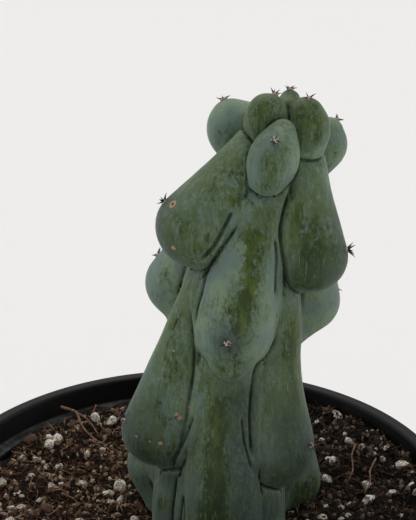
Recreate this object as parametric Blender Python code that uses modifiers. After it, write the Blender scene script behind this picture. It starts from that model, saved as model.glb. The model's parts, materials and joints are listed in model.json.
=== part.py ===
"""Potted boobie cactus: one short stem whose ribs carry drooping rounded lobes, in a black nursery pot.

Units are metres, +Z is up, and the origin is the centre of the underside of the pot.
The side that is seen first looks towards -Y.
"""
import math
import random
from collections import namedtuple

import bmesh
import bpy
from mathutils import Matrix, Vector, noise

OBJECT_NAME = "potted_boobie_cactus"

# Clearance between two pieces that touch
SEAT_GAP = 0.0003

# Pot: a turned shell with a stacking band below its lip
POT_HEIGHT = 0.125
LIP_RADIUS = 0.080
LIP_WIDTH = 0.0044
LIP_DEPTH = 0.0026
WALL = 0.0015
FLOOR = 0.0022
BAND_DEPTH = 0.0079
LEDGE_RADIUS = 0.0704
BAND_RADIUS = 0.0744
FOOT_RADIUS = 0.0560
CORNER = 0.0012
TURN_STEPS = 48
DRAIN_COUNT = 8
DRAIN_RADIUS = 0.0040
DRAIN_CIRCLE = 0.0420

# Soil: how far its surface lies below the lip, and the lumps on it
SOIL_DEPTH = 0.0130
SOIL_EDGE_RISE = 0.0030
SOIL_RINGS = 10
BANK_CENTRE = (0.036, -0.020)
BANK_WIDTH = 0.013
BANK_RISE = 0.0040
LUMP_RISE = 0.0022
LUMP_WIDTH = 0.0130
PERLITE_COUNT = 34
CRUMB_COUNT = 20
SEED = 7

# Fibres of bark on the soil: where each starts, its heading in degrees, its length and its bend
FIBRES = (
    (-0.052, 0.013, 335, 0.026, 30),
    (0.045, 0.022, 250, 0.016, -25),
    (0.012, 0.050, 335, 0.022, 35),
    (-0.030, -0.048, 20, 0.024, -30),
    (0.052, -0.030, 120, 0.018, 25),
)
FIBRE_RADIUS = 0.0005
FIBRE_POINTS = 6

# Stem: sideways lean, height above the lip, and radius between the ribs
STEM_LINE = (
    (0.0085, -0.0520, 0.0100),
    (0.0085, -0.0420, 0.0160),
    (0.0085, -0.0130, 0.0184),
    (0.0090, 0.0250, 0.0184),
    (0.0130, 0.0550, 0.0174),
    (0.0180, 0.0800, 0.0158),
    (0.0235, 0.1020, 0.0122),
    (0.0258, 0.1110, 0.0090),
    (0.0270, 0.1150, 0.0050),
)

# Six ribs, named by the side of the plant that they run down, in degrees from +X
FRONT = 265
LEFT_FRONT = 208
RIGHT_FRONT = 328
LEFT_BACK = 148
RIGHT_BACK = 27
BACK = 88

# A lobe is a chain of balls, each given round the stem's centre line: its side in degrees,
# its distance from the line, its height above the lip and its radius. The areole, where the
# spines grow, is a direction in degrees round and up from the last ball, or from a share of
# the way to it.
Ball = namedtuple("Ball", "side reach height radius")
Lobe = namedtuple("Lobe", "balls areole share", defaults=(1.0,))

CROWN = (
    Lobe((Ball(80, 0.0020, 0.1090, 0.0050), Ball(80, 0.0020, 0.1186, 0.0033)), (90, 80)),
    Lobe((Ball(BACK, 0.0040, 0.1050, 0.0062), Ball(BACK, 0.0085, 0.1120, 0.0052)), (BACK, 62)),
    Lobe((Ball(230, 0.0040, 0.1080, 0.0060), Ball(230, 0.0091, 0.1161, 0.0058)), (40, 62)),
    Lobe((Ball(310, 0.0094, 0.1122, 0.0056), Ball(308, 0.0076, 0.1158, 0.0052)), (300, 74)),
    Lobe((Ball(263, 0.0161, 0.1033, 0.0063), Ball(266, 0.0120, 0.1120, 0.0051)), (247, 8)),
    Lobe((Ball(155, 0.0149, 0.1064, 0.0063), Ball(155, 0.0168, 0.1112, 0.0058)), (150, 72)),
    Lobe((Ball(25, 0.0162, 0.1016, 0.0053), Ball(28, 0.0166, 0.1069, 0.0051)), (25, 50)),
)

HANGING = (
    Lobe((Ball(216, 0.0100, 0.1072, 0.0050), Ball(211, 0.0213, 0.0861, 0.0110)), (181, 41)),
    Lobe((Ball(320, 0.0082, 0.1050, 0.0052), Ball(330, 0.0197, 0.0769, 0.0100)), (345, 16)),
    Lobe((Ball(BACK, 0.0080, 0.1050, 0.0052), Ball(BACK, 0.0205, 0.0820, 0.0104)), (BACK, 30)),
    Lobe((Ball(258, 0.0105, 0.1030, 0.0060), Ball(265, 0.0187, 0.0640, 0.0105),
          Ball(266, 0.0221, 0.0525, 0.0079)), (267, 6), 0.35),
    Lobe((Ball(156, 0.0100, 0.0990, 0.0052), Ball(LEFT_BACK, 0.0220, 0.0610, 0.0090)), (156, 48)),
    Lobe((Ball(22, 0.0110, 0.0960, 0.0052), Ball(25, 0.0253, 0.0550, 0.0084)), (35, 12)),
    Lobe((Ball(208, 0.0142, 0.0790, 0.0048), Ball(207, 0.0174, 0.0450, 0.0070),
          Ball(206, 0.0208, 0.0223, 0.0110)), (191, 20)),
    Lobe((Ball(328, 0.0125, 0.0760, 0.0047), Ball(328, 0.0166, 0.0400, 0.0070),
          Ball(328, 0.0206, 0.0190, 0.0101)), (331, 3)),
    Lobe((Ball(BACK, 0.0135, 0.0780, 0.0050), Ball(BACK, 0.0210, 0.0200, 0.0107)), (BACK, 22)),
)

# The lowest lobes and ribs run down into the soil
ROOTED = (
    Lobe((Ball(FRONT, 0.0110, 0.0560, 0.0082), Ball(268, 0.0190, -0.0020, 0.0110)), (268, 20)),
    Lobe((Ball(LEFT_BACK, 0.0130, 0.0520, 0.0055), Ball(144, 0.0223, -0.0065, 0.0116)), (155, 34)),
    Lobe((Ball(RIGHT_BACK, 0.0135, 0.0480, 0.0055), Ball(32, 0.0250, -0.0078, 0.0108)), (34, 26)),
    Lobe((Ball(LEFT_FRONT, 0.0105, 0.0200, 0.0085), Ball(LEFT_FRONT, 0.0130, -0.0400, 0.0100)), None),
    Lobe((Ball(RIGHT_FRONT, 0.0105, 0.0180, 0.0085), Ball(RIGHT_FRONT, 0.0130, -0.0410, 0.0100)), None),
    Lobe((Ball(BACK, 0.0105, 0.0180, 0.0085), Ball(BACK, 0.0130, -0.0405, 0.0100)), None),
)

# Length of the facets round a lobe, and the fewest of them
FACET = 0.0048
FEWEST_FACETS = 13

# Areoles: a pad of wool with a few stiff spines
PAD_RADIUS = 0.00125
PAD_HEIGHT = 0.0006
SPINE_COUNT = 5
SPINE_LENGTH = 0.0021
SPINE_RADIUS = 0.00028
SPINE_SPREAD = 58
SPINE_ROOT = 0.0004


def clear_scene():
    for item in list(bpy.data.objects):
        bpy.data.objects.remove(item, do_unlink=True)


def make_collection(name):
    collection = bpy.data.collections.new(name)
    bpy.context.scene.collection.children.link(collection)
    return collection


def make_material(name, colour, roughness, metallic=0.0):
    material = bpy.data.materials.new(name)
    material.use_nodes = True
    shader = material.node_tree.nodes["Principled BSDF"]
    shader.inputs["Base Color"].default_value = (*colour, 1.0)
    shader.inputs["Roughness"].default_value = roughness
    shader.inputs["Metallic"].default_value = metallic
    return material


def add_object(name, data, collection):
    item = bpy.data.objects.new(name, data)
    collection.objects.link(item)
    return item


def mesh_from(name, bm):
    mesh = bpy.data.meshes.new(name)
    bm.to_mesh(mesh)
    bm.free()
    return mesh


def evaluated_mesh(item):
    bpy.context.view_layer.update()
    depsgraph = bpy.context.evaluated_depsgraph_get()
    return bpy.data.meshes.new_from_object(item.evaluated_get(depsgraph))


def bake(item):
    """Replace an object's mesh by its evaluated mesh, so that its modifiers are applied."""
    mesh = evaluated_mesh(item)
    item.modifiers.clear()
    item.data = mesh


def mesh_of_curve(name, curve, collection):
    """Mesh object of a bevelled curve, with its caps welded on."""
    guide = add_object(name + "_line", curve, collection)
    bm = bmesh.new()
    bm.from_mesh(evaluated_mesh(guide))
    bmesh.ops.remove_doubles(bm, verts=bm.verts, dist=0.00001)
    bpy.data.objects.remove(guide, do_unlink=True)
    return add_object(name, mesh_from(name, bm), collection)


def empty_collection(collection):
    for item in list(collection.objects):
        bpy.data.objects.remove(item, do_unlink=True)
    bpy.data.collections.remove(collection)


def shade_round(item, angle):
    item.data.shade_smooth()
    item.data.set_sharp_from_angle(angle=math.radians(angle))


# Pot


def wall_radius(height):
    """Radius of the inner face of the tapering wall at a height above the base."""
    ledge_height = POT_HEIGHT - BAND_DEPTH
    share = (height - FLOOR) / (ledge_height - FLOOR)
    foot = FOOT_RADIUS - WALL
    return foot + (LEDGE_RADIUS - foot) * share


def pot_profile():
    """Half section from the floor's centre up the inside, over the lip and down the outside."""
    top = POT_HEIGHT
    ledge = top - BAND_DEPTH
    inner_lip = LIP_RADIUS - LIP_WIDTH
    band_outer = BAND_RADIUS + WALL
    soft = CORNER / 2
    inside = [
        (0.0, FLOOR),
        (wall_radius(FLOOR) - CORNER, FLOOR),
        (wall_radius(FLOOR + CORNER), FLOOR + CORNER),
        (wall_radius(ledge - soft), ledge - soft),
        (LEDGE_RADIUS + soft, ledge),
        (BAND_RADIUS - soft, ledge + soft / 3),
        (BAND_RADIUS, ledge + soft),
        (inner_lip - soft / 3, top - CORNER),
        (inner_lip + soft / 2, top - soft / 3),
        (inner_lip + CORNER, top),
    ]
    outside = [
        (LIP_RADIUS - CORNER, top),
        (LIP_RADIUS - soft / 2, top - soft / 3),
        (LIP_RADIUS, top - CORNER),
        (LIP_RADIUS, top - LIP_DEPTH),
        (LIP_RADIUS - soft, top - LIP_DEPTH - soft),
        (band_outer + CORNER, top - LIP_DEPTH - soft),
        (band_outer + soft, top - LIP_DEPTH - 2 * soft),
        (band_outer, ledge - WALL),
        (LEDGE_RADIUS + WALL + CORNER, ledge - WALL - soft),
        (LEDGE_RADIUS + WALL, ledge - WALL - CORNER),
        (FOOT_RADIUS + soft, 2 * CORNER),
        (FOOT_RADIUS, soft),
        (FOOT_RADIUS - CORNER, 0.0),
        (0.0, 0.0),
    ]
    return inside + outside


def turned(name, profile, collection):
    """Turn a half section round Z."""
    bm = bmesh.new()
    previous = None
    for radius, height in profile:
        point = bm.verts.new((radius, 0.0, height))
        if previous:
            bm.edges.new((previous, point))
        previous = point
    item = add_object(name, mesh_from(name, bm), collection)
    screw = item.modifiers.new("turn", "SCREW")
    screw.axis = "Z"
    screw.steps = TURN_STEPS
    screw.render_steps = TURN_STEPS
    screw.use_merge_vertices = True
    screw.merge_threshold = 0.00001
    screw.use_normal_calculate = False
    return item


def make_drain_cutters(collection):
    for index in range(DRAIN_COUNT):
        angle = math.tau * (index + 0.5) / DRAIN_COUNT
        bm = bmesh.new()
        bmesh.ops.create_cone(bm, cap_ends=True, segments=12, radius1=DRAIN_RADIUS,
                              radius2=DRAIN_RADIUS, depth=4 * FLOOR)
        cutter = add_object(f"drain_cutter_{index}", mesh_from("drain_cutter", bm), collection)
        cutter.location = (DRAIN_CIRCLE * math.cos(angle), DRAIN_CIRCLE * math.sin(angle), FLOOR / 2)
        cutter.hide_render = True
        cutter.display_type = "WIRE"


def make_pot(parts):
    pot = turned("pot", pot_profile(), parts)
    cutters = make_collection("drain_cutters")
    make_drain_cutters(cutters)
    holes = pot.modifiers.new("drain_holes", "BOOLEAN")
    holes.operation = "DIFFERENCE"
    holes.operand_type = "COLLECTION"
    holes.collection = cutters
    bake(pot)
    empty_collection(cutters)
    pot.data.materials.append(make_material("black_plastic", (0.018, 0.018, 0.019), 0.38))
    shade_round(pot, 40)
    return pot


# Cactus


def stem_centre(height):
    """Sideways place of the stem's centre line at a height above the lip."""
    for low, high in zip(STEM_LINE, STEM_LINE[1:]):
        if height <= high[1]:
            share = max(0.0, (height - low[1]) / (high[1] - low[1]))
            return low[0] + (high[0] - low[0]) * share
    return STEM_LINE[-1][0]


def ball_centre(ball):
    angle = math.radians(ball.side)
    across = stem_centre(ball.height) + ball.reach * math.cos(angle)
    return Vector((across, ball.reach * math.sin(angle), POT_HEIGHT + ball.height))


def heading(side, rise):
    """Unit vector from degrees round from +X and degrees up."""
    side, rise = math.radians(side), math.radians(rise)
    return Vector((math.cos(rise) * math.cos(side), math.cos(rise) * math.sin(side), math.sin(rise)))


def turn_to(direction):
    return direction.to_track_quat("Z", "Y").to_matrix().to_4x4()


def make_pear(name, first, second, grow, collection):
    """Solid round two balls: each point of a sphere moves to the ball that reaches furthest that way."""
    start, end = ball_centre(first), ball_centre(second)
    along = end - start
    facets = max(FEWEST_FACETS, round(math.tau * max(first.radius, second.radius) / FACET))
    bm = bmesh.new()
    bmesh.ops.create_uvsphere(bm, u_segments=facets, v_segments=round(0.65 * facets), radius=1.0)
    bmesh.ops.transform(bm, matrix=turn_to(along), verts=bm.verts)
    for point in bm.verts:
        outward = point.co.normalized()
        if outward.dot(along) + second.radius > first.radius:
            point.co = end + outward * (second.radius + grow)
        else:
            point.co = start + outward * (first.radius + grow)
    return add_object(name, mesh_from(name, bm), collection)


def make_lobe(name, lobe, grow, collection):
    for index, (first, second) in enumerate(zip(lobe.balls, lobe.balls[1:])):
        make_pear(f"{name}_{index}", first, second, grow, collection)


def make_stem(name, grow, collection):
    """Round stem along the leaning centre line."""
    curve = bpy.data.curves.new(name, "CURVE")
    curve.dimensions = "3D"
    curve.resolution_u = 2
    curve.bevel_depth = 1.0
    curve.bevel_resolution = 8
    curve.use_fill_caps = True
    spline = curve.splines.new("BEZIER")
    spline.bezier_points.add(len(STEM_LINE) - 1)
    for point, (across, height, radius) in zip(spline.bezier_points, STEM_LINE):
        point.co = (across, 0.0, POT_HEIGHT + height)
        point.handle_left_type = "AUTO"
        point.handle_right_type = "AUTO"
        point.radius = radius + grow
    spline.bezier_points[0].co.z -= grow
    return mesh_of_curve(name, curve, collection)


def make_pad(name, centre, outward, collection):
    bm = bmesh.new()
    bmesh.ops.create_uvsphere(bm, u_segments=8, v_segments=5, radius=1.0)
    flatten = Matrix.Diagonal((PAD_RADIUS, PAD_RADIUS, PAD_HEIGHT, 1.0))
    bmesh.ops.transform(bm, matrix=turn_to(outward) @ flatten, verts=bm.verts)
    bmesh.ops.translate(bm, vec=centre, verts=bm.verts)
    add_object(name, mesh_from(name, bm), collection)


def make_spine(name, root, direction, length, collection):
    bm = bmesh.new()
    bmesh.ops.create_cone(bm, cap_ends=True, segments=3, radius1=SPINE_RADIUS,
                          radius2=0.00004, depth=length + SPINE_ROOT)
    bmesh.ops.translate(bm, vec=(0.0, 0.0, (length - SPINE_ROOT) / 2), verts=bm.verts)
    bmesh.ops.transform(bm, matrix=turn_to(direction), verts=bm.verts)
    bmesh.ops.translate(bm, vec=root, verts=bm.verts)
    add_object(name, mesh_from(name, bm), collection)


def make_areole(name, lobe, draw, collection):
    """Pad at the place that the lobe's areole names, with spines spread round its direction."""
    outward = heading(*lobe.areole)
    first, last = lobe.balls[-2:]
    radius = first.radius + (last.radius - first.radius) * lobe.share
    centre = ball_centre(first).lerp(ball_centre(last), lobe.share) + outward * radius
    make_pad(f"{name}_pad", centre, outward, collection)
    turn = turn_to(outward).to_3x3()
    start = draw.uniform(0, 360)
    for index in range(SPINE_COUNT):
        around = start + 360 * index / SPINE_COUNT + draw.uniform(-14, 14)
        lean = 90 - SPINE_SPREAD + draw.uniform(-10, 10)
        direction = turn @ heading(around, lean)
        length = SPINE_LENGTH * draw.uniform(0.75, 1.0)
        root = centre + direction * PAD_RADIUS * 0.35
        make_spine(f"{name}_spine_{index}", root, direction, length, collection)


def fuse(item, collection, operation):
    joined = item.modifiers.new(operation.lower(), "BOOLEAN")
    joined.operation = operation
    joined.operand_type = "COLLECTION"
    joined.collection = collection
    joined.solver = "EXACT"
    bake(item)
    empty_collection(collection)


def make_cactus(parts):
    draw = random.Random(SEED)
    cactus = make_stem("cactus", 0.0, parts)
    growth = make_collection("growth")
    for index, lobe in enumerate(CROWN + HANGING + ROOTED):
        make_lobe(f"lobe_{index}", lobe, 0.0, growth)
        if lobe.areole:
            make_areole(f"areole_{index}", lobe, draw, growth)
    fuse(cactus, growth, "UNION")
    cactus.data.materials.append(make_material("cactus_skin", (0.16, 0.24, 0.17), 0.62))
    shade_round(cactus, 35)
    return cactus


# Soil


def soil_height(across, depth):
    """Height of the soil's surface: dished, banked up by the plant's right front, and lumpy."""
    radius = math.hypot(across, depth)
    level = POT_HEIGHT - SOIL_DEPTH + SOIL_EDGE_RISE * (radius / LEDGE_RADIUS) ** 2
    away = math.hypot(across - BANK_CENTRE[0], depth - BANK_CENTRE[1])
    level += BANK_RISE * math.exp(-0.5 * (away / BANK_WIDTH) ** 2)
    level += LUMP_RISE * noise.noise(Vector((across / LUMP_WIDTH, depth / LUMP_WIDTH, 1.7)))
    return level


def soil_profile():
    top = POT_HEIGHT - SOIL_DEPTH
    rim = wall_radius(top) - SEAT_GAP
    rings = [(rim * index / SOIL_RINGS, top) for index in range(SOIL_RINGS + 1)]
    foot = FLOOR + SEAT_GAP
    corner = CORNER + 2 * SEAT_GAP
    below = [
        (wall_radius(foot + corner) - SEAT_GAP, foot + corner),
        (wall_radius(foot) - SEAT_GAP - corner, foot),
        (0.0, foot),
    ]
    return rings + below


def shape_soil_top(soil):
    """Move the rings of the flat top to the soil's height, and its edge ring in to the wall."""
    top = POT_HEIGHT - SOIL_DEPTH
    rim = wall_radius(top) - SEAT_GAP
    for point in soil.data.vertices:
        if abs(point.co.z - top) > 0.0005:
            continue
        radius = math.hypot(point.co.x, point.co.y)
        point.co.z = soil_height(point.co.x, point.co.y)
        if radius > 0.98 * rim:
            scale = (wall_radius(point.co.z) - SEAT_GAP) / radius
            point.co.x *= scale
            point.co.y *= scale


def clear_of_plant(place, margin):
    """True where a place on the soil keeps a margin from each ball that is near the soil."""
    stem = Vector((stem_centre(-SOIL_DEPTH), 0.0, place.z))
    if (place - stem).length < 0.024 + margin:
        return False
    for lobe in ROOTED:
        for ball in lobe.balls:
            if (place - ball_centre(ball)).length < ball.radius + margin:
                return False
    return True


def make_lump(name, place, size, draw, collection):
    bm = bmesh.new()
    bmesh.ops.create_icosphere(bm, subdivisions=1, radius=1.0)
    for point in bm.verts:
        point.co *= draw.uniform(0.82, 1.12)
    stretch = Matrix.Diagonal((size, size * draw.uniform(0.7, 1.0), size * draw.uniform(0.6, 0.9), 1.0))
    spin = Matrix.Rotation(draw.uniform(0, math.tau), 4, "Z")
    tilt = Matrix.Rotation(draw.uniform(-0.5, 0.5), 4, "X")
    bmesh.ops.transform(bm, matrix=Matrix.Translation(place) @ spin @ tilt @ stretch, verts=bm.verts)
    add_object(name, mesh_from(name, bm), collection)


def scatter_lumps(name, count, smallest, largest, draw, collection):
    """Stones and crumbs, sunk to about their middle, at drawn places clear of the plant and the wall."""
    placed = 0
    limit = wall_radius(POT_HEIGHT - SOIL_DEPTH) - 1.2 * largest - SEAT_GAP
    while placed < count:
        radius = limit * math.sqrt(draw.random())
        angle = draw.uniform(0, math.tau)
        size = smallest + (largest - smallest) * draw.random() ** 2
        across, depth = radius * math.cos(angle), radius * math.sin(angle)
        place = Vector((across, depth, soil_height(across, depth) - 0.05 * size))
        if clear_of_plant(place, 1.3 * size + 0.001):
            make_lump(f"{name}_{placed}", place, size, draw, collection)
            placed += 1


def make_fibre(name, start_x, start_y, course, length, bend, collection):
    """A thin bent fibre that lies half sunk in the soil."""
    curve = bpy.data.curves.new(name, "CURVE")
    curve.dimensions = "3D"
    curve.bevel_depth = FIBRE_RADIUS
    curve.bevel_resolution = 1
    curve.use_fill_caps = True
    spline = curve.splines.new("POLY")
    spline.points.add(FIBRE_POINTS - 1)
    across, depth = start_x, start_y
    for index, point in enumerate(spline.points):
        point.co = (across, depth, soil_height(across, depth) + 0.3 * FIBRE_RADIUS, 1.0)
        angle = math.radians(course + bend * index / FIBRE_POINTS)
        across += length / (FIBRE_POINTS - 1) * math.cos(angle)
        depth += length / (FIBRE_POINTS - 1) * math.sin(angle)
    mesh_of_curve(name, curve, collection)


def make_soil(parts):
    draw = random.Random(SEED + 1)
    soil = turned("soil", soil_profile(), parts)
    bake(soil)
    shape_soil_top(soil)
    litter = make_collection("litter")
    scatter_lumps("perlite", PERLITE_COUNT, 0.0010, 0.0029, draw, litter)
    scatter_lumps("crumb", CRUMB_COUNT, 0.0010, 0.0024, draw, litter)
    for index, fibre in enumerate(FIBRES):
        make_fibre(f"fibre_{index}", *fibre, litter)
    fuse(soil, litter, "UNION")
    hole = make_collection("stem_hole")
    make_stem("hole_stem", SEAT_GAP, hole)
    for index, lobe in enumerate(ROOTED):
        make_lobe(f"hole_lobe_{index}", lobe, SEAT_GAP, hole)
    fuse(soil, hole, "DIFFERENCE")
    soil.data.materials.append(make_material("potting_soil", (0.035, 0.022, 0.016), 0.9))
    soil.data.shade_flat()
    return soil


def main():
    clear_scene()
    parts = make_collection(OBJECT_NAME)
    make_pot(parts)
    make_soil(parts)
    make_cactus(parts)


main()
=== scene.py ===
import json
import math
import random
from collections import namedtuple

import bmesh
import bpy
import numpy as np
from mathutils import Matrix, Vector

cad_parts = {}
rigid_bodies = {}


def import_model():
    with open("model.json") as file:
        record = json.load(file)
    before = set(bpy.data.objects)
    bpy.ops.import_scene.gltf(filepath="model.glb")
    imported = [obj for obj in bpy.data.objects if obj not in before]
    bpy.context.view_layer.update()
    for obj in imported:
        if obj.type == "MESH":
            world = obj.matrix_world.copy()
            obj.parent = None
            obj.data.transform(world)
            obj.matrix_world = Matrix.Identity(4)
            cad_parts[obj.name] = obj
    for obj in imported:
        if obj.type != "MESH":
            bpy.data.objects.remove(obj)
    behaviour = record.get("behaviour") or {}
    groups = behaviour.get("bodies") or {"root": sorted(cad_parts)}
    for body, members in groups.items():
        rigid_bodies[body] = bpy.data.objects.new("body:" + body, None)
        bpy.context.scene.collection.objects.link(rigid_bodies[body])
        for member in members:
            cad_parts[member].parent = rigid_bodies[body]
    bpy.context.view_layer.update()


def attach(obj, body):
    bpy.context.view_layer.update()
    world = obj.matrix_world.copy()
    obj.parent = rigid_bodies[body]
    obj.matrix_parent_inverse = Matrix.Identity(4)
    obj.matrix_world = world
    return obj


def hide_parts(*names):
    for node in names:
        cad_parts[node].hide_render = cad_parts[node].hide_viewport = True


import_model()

MM = 0.001

# Pot, in metres
POT_HEIGHT = 0.125
LIP_RADIUS = 0.080
LIP_WIDTH = 0.0044
LIP_DEPTH = 0.0026
WALL = 0.0015
FLOOR = 0.0022
BAND_DEPTH = 0.0079
LEDGE_RADIUS = 0.0704
BAND_RADIUS = 0.0744
FOOT_RADIUS = 0.0560
DRAIN_COUNT = 8
DRAIN_RADIUS = 0.0040
DRAIN_CIRCLE = 0.0420

# Soil
SOIL_DEPTH = 0.0130
SOIL_EDGE_RISE = 0.0030
BANK_CENTRE = (0.036, -0.020)
BANK_WIDTH = 0.013
BANK_RISE = 0.0040
EDGE_BANKS = ((32, 38, 0.0064), (135, 32, 0.0026), (90, 30, 0.0015))
CLOD_COUNT = 80
CLOD_SIDE = 34
CLOD_SPREAD = 24
CLOD_SIZES = (0.0014, 0.0023)
CLOD_STRETCH = ((0.7, 1.0), (0.7, 1.0), (0.6, 0.95))
STONE_RADIUS = 0.0005
STONE_CUT = 0.0004
COIR_LENGTHS = (0.002, 0.0055)
COIR_RADIUS = 0.00011
SEAT_GAP = 0.0003
LITTER_DEPTH = 0.022
LITTER_GAP = 0.0009
LITTER_EDGE = 0.0022
FOOT_ROUND = 0.0018

# Lumps on the soil's top: how high they rise, and how far they are across
SOIL_LUMPS = ((0.0016, 0.0130), (0.0013, 0.0048), (0.0011, 0.0023), (0.0007, 0.0013))

# What is strewn on the soil: how many in a square metre at most, how far apart, the smallest and
# largest in millimetres, how much the small ones prevail, how far they tilt and stand out, and a seed
LITTER = {
    "soil_crumbs": {"Density": 1200000.0, "Apart": 0.00079, "Smallest": 0.6, "Largest": 2.6,
                    "Evenness": 2.4, "Seed": 3, "Sink": 0.00015},
    "bark_chips": {"Density": 60000.0, "Apart": 0.0026, "Smallest": 1.2, "Largest": 5.0,
                   "Evenness": 2.8, "Tilt": 0.9, "Seed": 5, "Sink": -0.0002},
    "coir_threads": {"Density": 700000.0, "Apart": 0.00080, "Smallest": 0.4, "Largest": 1.5,
                     "Evenness": 2.0, "Tilt": 0.8, "Seed": 8, "Sink": 0.0005},
    "perlite_grains": {"Density": 56000.0, "Apart": 0.0022, "Smallest": 0.5, "Largest": 5.9,
                       "Evenness": 3.0, "Seed": 12, "Sink": -0.0003},
}
WOOL = {"Density": 12000000.0, "Apart": 0.00019, "Smallest": 0.35, "Largest": 0.75, "Evenness": 1.0,
        "Tilt": 0.9, "Seed": 4, "Sink": 0.00004, "Keep surface": True}

# Stem: sideways lean, height above the lip, and radius between the ribs
STEM_LINE = (
    (0.0085, -0.0520, 0.0100), (0.0085, -0.0420, 0.0160), (0.0085, -0.0130, 0.0184),
    (0.0090, 0.0250, 0.0184), (0.0130, 0.0550, 0.0174), (0.0180, 0.0800, 0.0158),
    (0.0235, 0.1020, 0.0122), (0.0258, 0.1110, 0.0090), (0.0270, 0.1150, 0.0050),
)

# Six ribs, named by the side of the plant that they run down, in degrees from +X
FRONT = 265
LEFT_FRONT = 208
RIGHT_FRONT = 328
LEFT_BACK = 148
RIGHT_BACK = 27
BACK = 88
RIBS = (FRONT, LEFT_FRONT, RIGHT_FRONT, LEFT_BACK, RIGHT_BACK, BACK)

# How far out a rib's middle lies and how wide it is, as shares of the stem's radius
RIB_REACH = 0.46
RIB_WIDTH = 0.57

# A lobe's areole, where the spines grow, is a direction in degrees round and up from its last ball,
# or from a share of the way to it. Then come one or more chains of balls, each ball given round the
# stem's centre line: its side in degrees, and in millimetres its distance from the line, its height
# above the lip and its radius. A hanging lobe melts into the stem at its neck and sides and is free
# below, and a young one in the crown is free all round. First those that run down into the soil.
ROOTED = (
    ((268, 20), 0.5, ((FRONT, 11, 56, 8.2), (268, 19, -2, 11), (268, 17, -30, 10))),
    ((155, 34), 1.0, ((LEFT_BACK, 13, 52, 5.5), (146, 21.5, -1, 10.8)),
     ((146, 21.2, -1, 10.4), (160, 14.5, -19, 7.2))),
    ((34, 26), 1.0, ((RIGHT_BACK, 13.5, 48, 5.5), (32, 25, -7.8, 10.8)),
     ((32, 24, -7.8, 10.4), (25, 17.5, -20, 8.5))),
    (None, 1.0, ((LEFT_FRONT, 10.5, 20, 8.5), (LEFT_FRONT, 13, -40, 10))),
    (None, 1.0, ((RIGHT_FRONT, 10.5, 18, 8.5), (RIGHT_FRONT, 13, -41, 10))),
    (None, 1.0, ((BACK, 10.5, 18, 8.5), (BACK, 13, -40.5, 10))),
    (None, 1.0, ((240, 12.5, 56, 2.2), (239, 15, 43, 2.6), (237, 17.4, 25, 2.9), (222, 18, 5, 3.6),
      (219, 18.2, -1, 4.6), (216, 15, -30, 6))),
    (None, 1.0, ((290, 16, 40, 2), (294, 17.2, 27, 2.4), (302, 18.6, 12, 2.6), (313, 18.4, 0, 4.4),
      (316, 15, -30, 6))),
    (None, 1.0, ((238, 18.5, 6, 1.3), (238, 19.2, -3, 1.8), (238, 19, -20, 2.6))),
)

# Lobes that hang on the ribs
HANGING = (
    ((BACK, 22), 1.0, ((BACK, 13.5, 78, 5), (BACK, 21, 20, 10.7))),
    ((191, 20), 1.0,
     ((243, 15, 90.6, 2.4), (236, 16, 82.5, 3), (224, 17.2, 69, 4.2), (207, 17.4, 45, 7),
      (206, 20.8, 22.3, 11)),
     ((223, 17.2, 50.5, 2.6), (221, 19, 36.7, 5.2), (226, 20.7, 19, 4.8))),
    ((331, 5), 0.0, ((290, 13.6, 92, 2.4), (296, 15, 81, 3), (312, 16, 67, 4.2), (328, 16.6, 40, 7),
      (328, 21.2, 19.5, 9.4), (327, 20.6, 14.6, 9.2)),
     ((322, 17, 53.2, 2.6), (310, 17.8, 38.8, 4.2), (308, 19.2, 25.1, 4.5), (312, 20, 14.2, 4.8))),
    ((156, 48), 1.0, ((156, 10, 99, 5.2), (LEFT_BACK, 22, 61.5, 8.8)),
     ((LEFT_BACK, 21.5, 60, 8.4), (152, 15, 53, 6.2))),
    ((35, 12), 1.0, ((22, 11, 96, 5.2), (25, 25.3, 55.8, 8.3)),
     ((25, 24.8, 54.8, 8), (20, 17.5, 48, 6.4))),
    ((BACK, 30), 1.0, ((BACK, 8, 105, 5.2), (BACK, 20.5, 82, 10.4))),
    ((258, 2), 0.42, ((258, 10.5, 103, 6), (265, 18.7, 64, 10.5), (266, 21.7, 50.5, 6.2))),
    ((181, 41), 1.0, ((216, 10, 107.2, 5), (211, 21.3, 86.1, 11)),
     ((228, 14, 100.5, 5.8), (225, 18, 94, 6.8), (216, 20.5, 85, 8.5))),
    ((345, 16), 1.0, ((320, 8.2, 105, 5.2), (330, 19.7, 76.9, 10)),
     ((309, 11, 98.8, 5), (313, 15, 88, 5.7), (320, 18.6, 76, 7.4))),
)

# Young lobes at the top
CROWN = (
    ((BACK, 62), 1.0, ((BACK, 4, 105, 6.2), (BACK, 8.5, 112, 5.2))),
    ((90, 80), 1.0, ((265, 2, 108, 7), (280, 1, 114.2, 5.8), (60, 1.2, 118.9, 3.2))),
    ((150, 72), 1.0, ((155, 14, 105.2, 5), (155, 15.6, 109, 6.6), (155, 16.8, 112.2, 5)),
     ((155, 4, 113, 5), (155, 15, 112, 5.2))),
    ((25, 50), 1.0, ((25, 15, 99, 4.2), (25, 16.8, 104, 5.4), (28, 16, 108.2, 4.4))),
    ((40, 62), 1.0, ((230, 5, 108.5, 5), (230, 8.2, 113.5, 6.6), (230, 9.2, 116.8, 5.7))),
    ((300, 74), 1.0, ((312, 10.5, 108.8, 4.8), (309, 9, 113, 6.2), (306, 7.7, 116.3, 5.2))),
    ((257, 12), 0.8, ((262, 17.8, 102.2, 5.2), (262, 16.8, 107, 6.9), (262, 13.2, 112.8, 4.3))),
)

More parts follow.
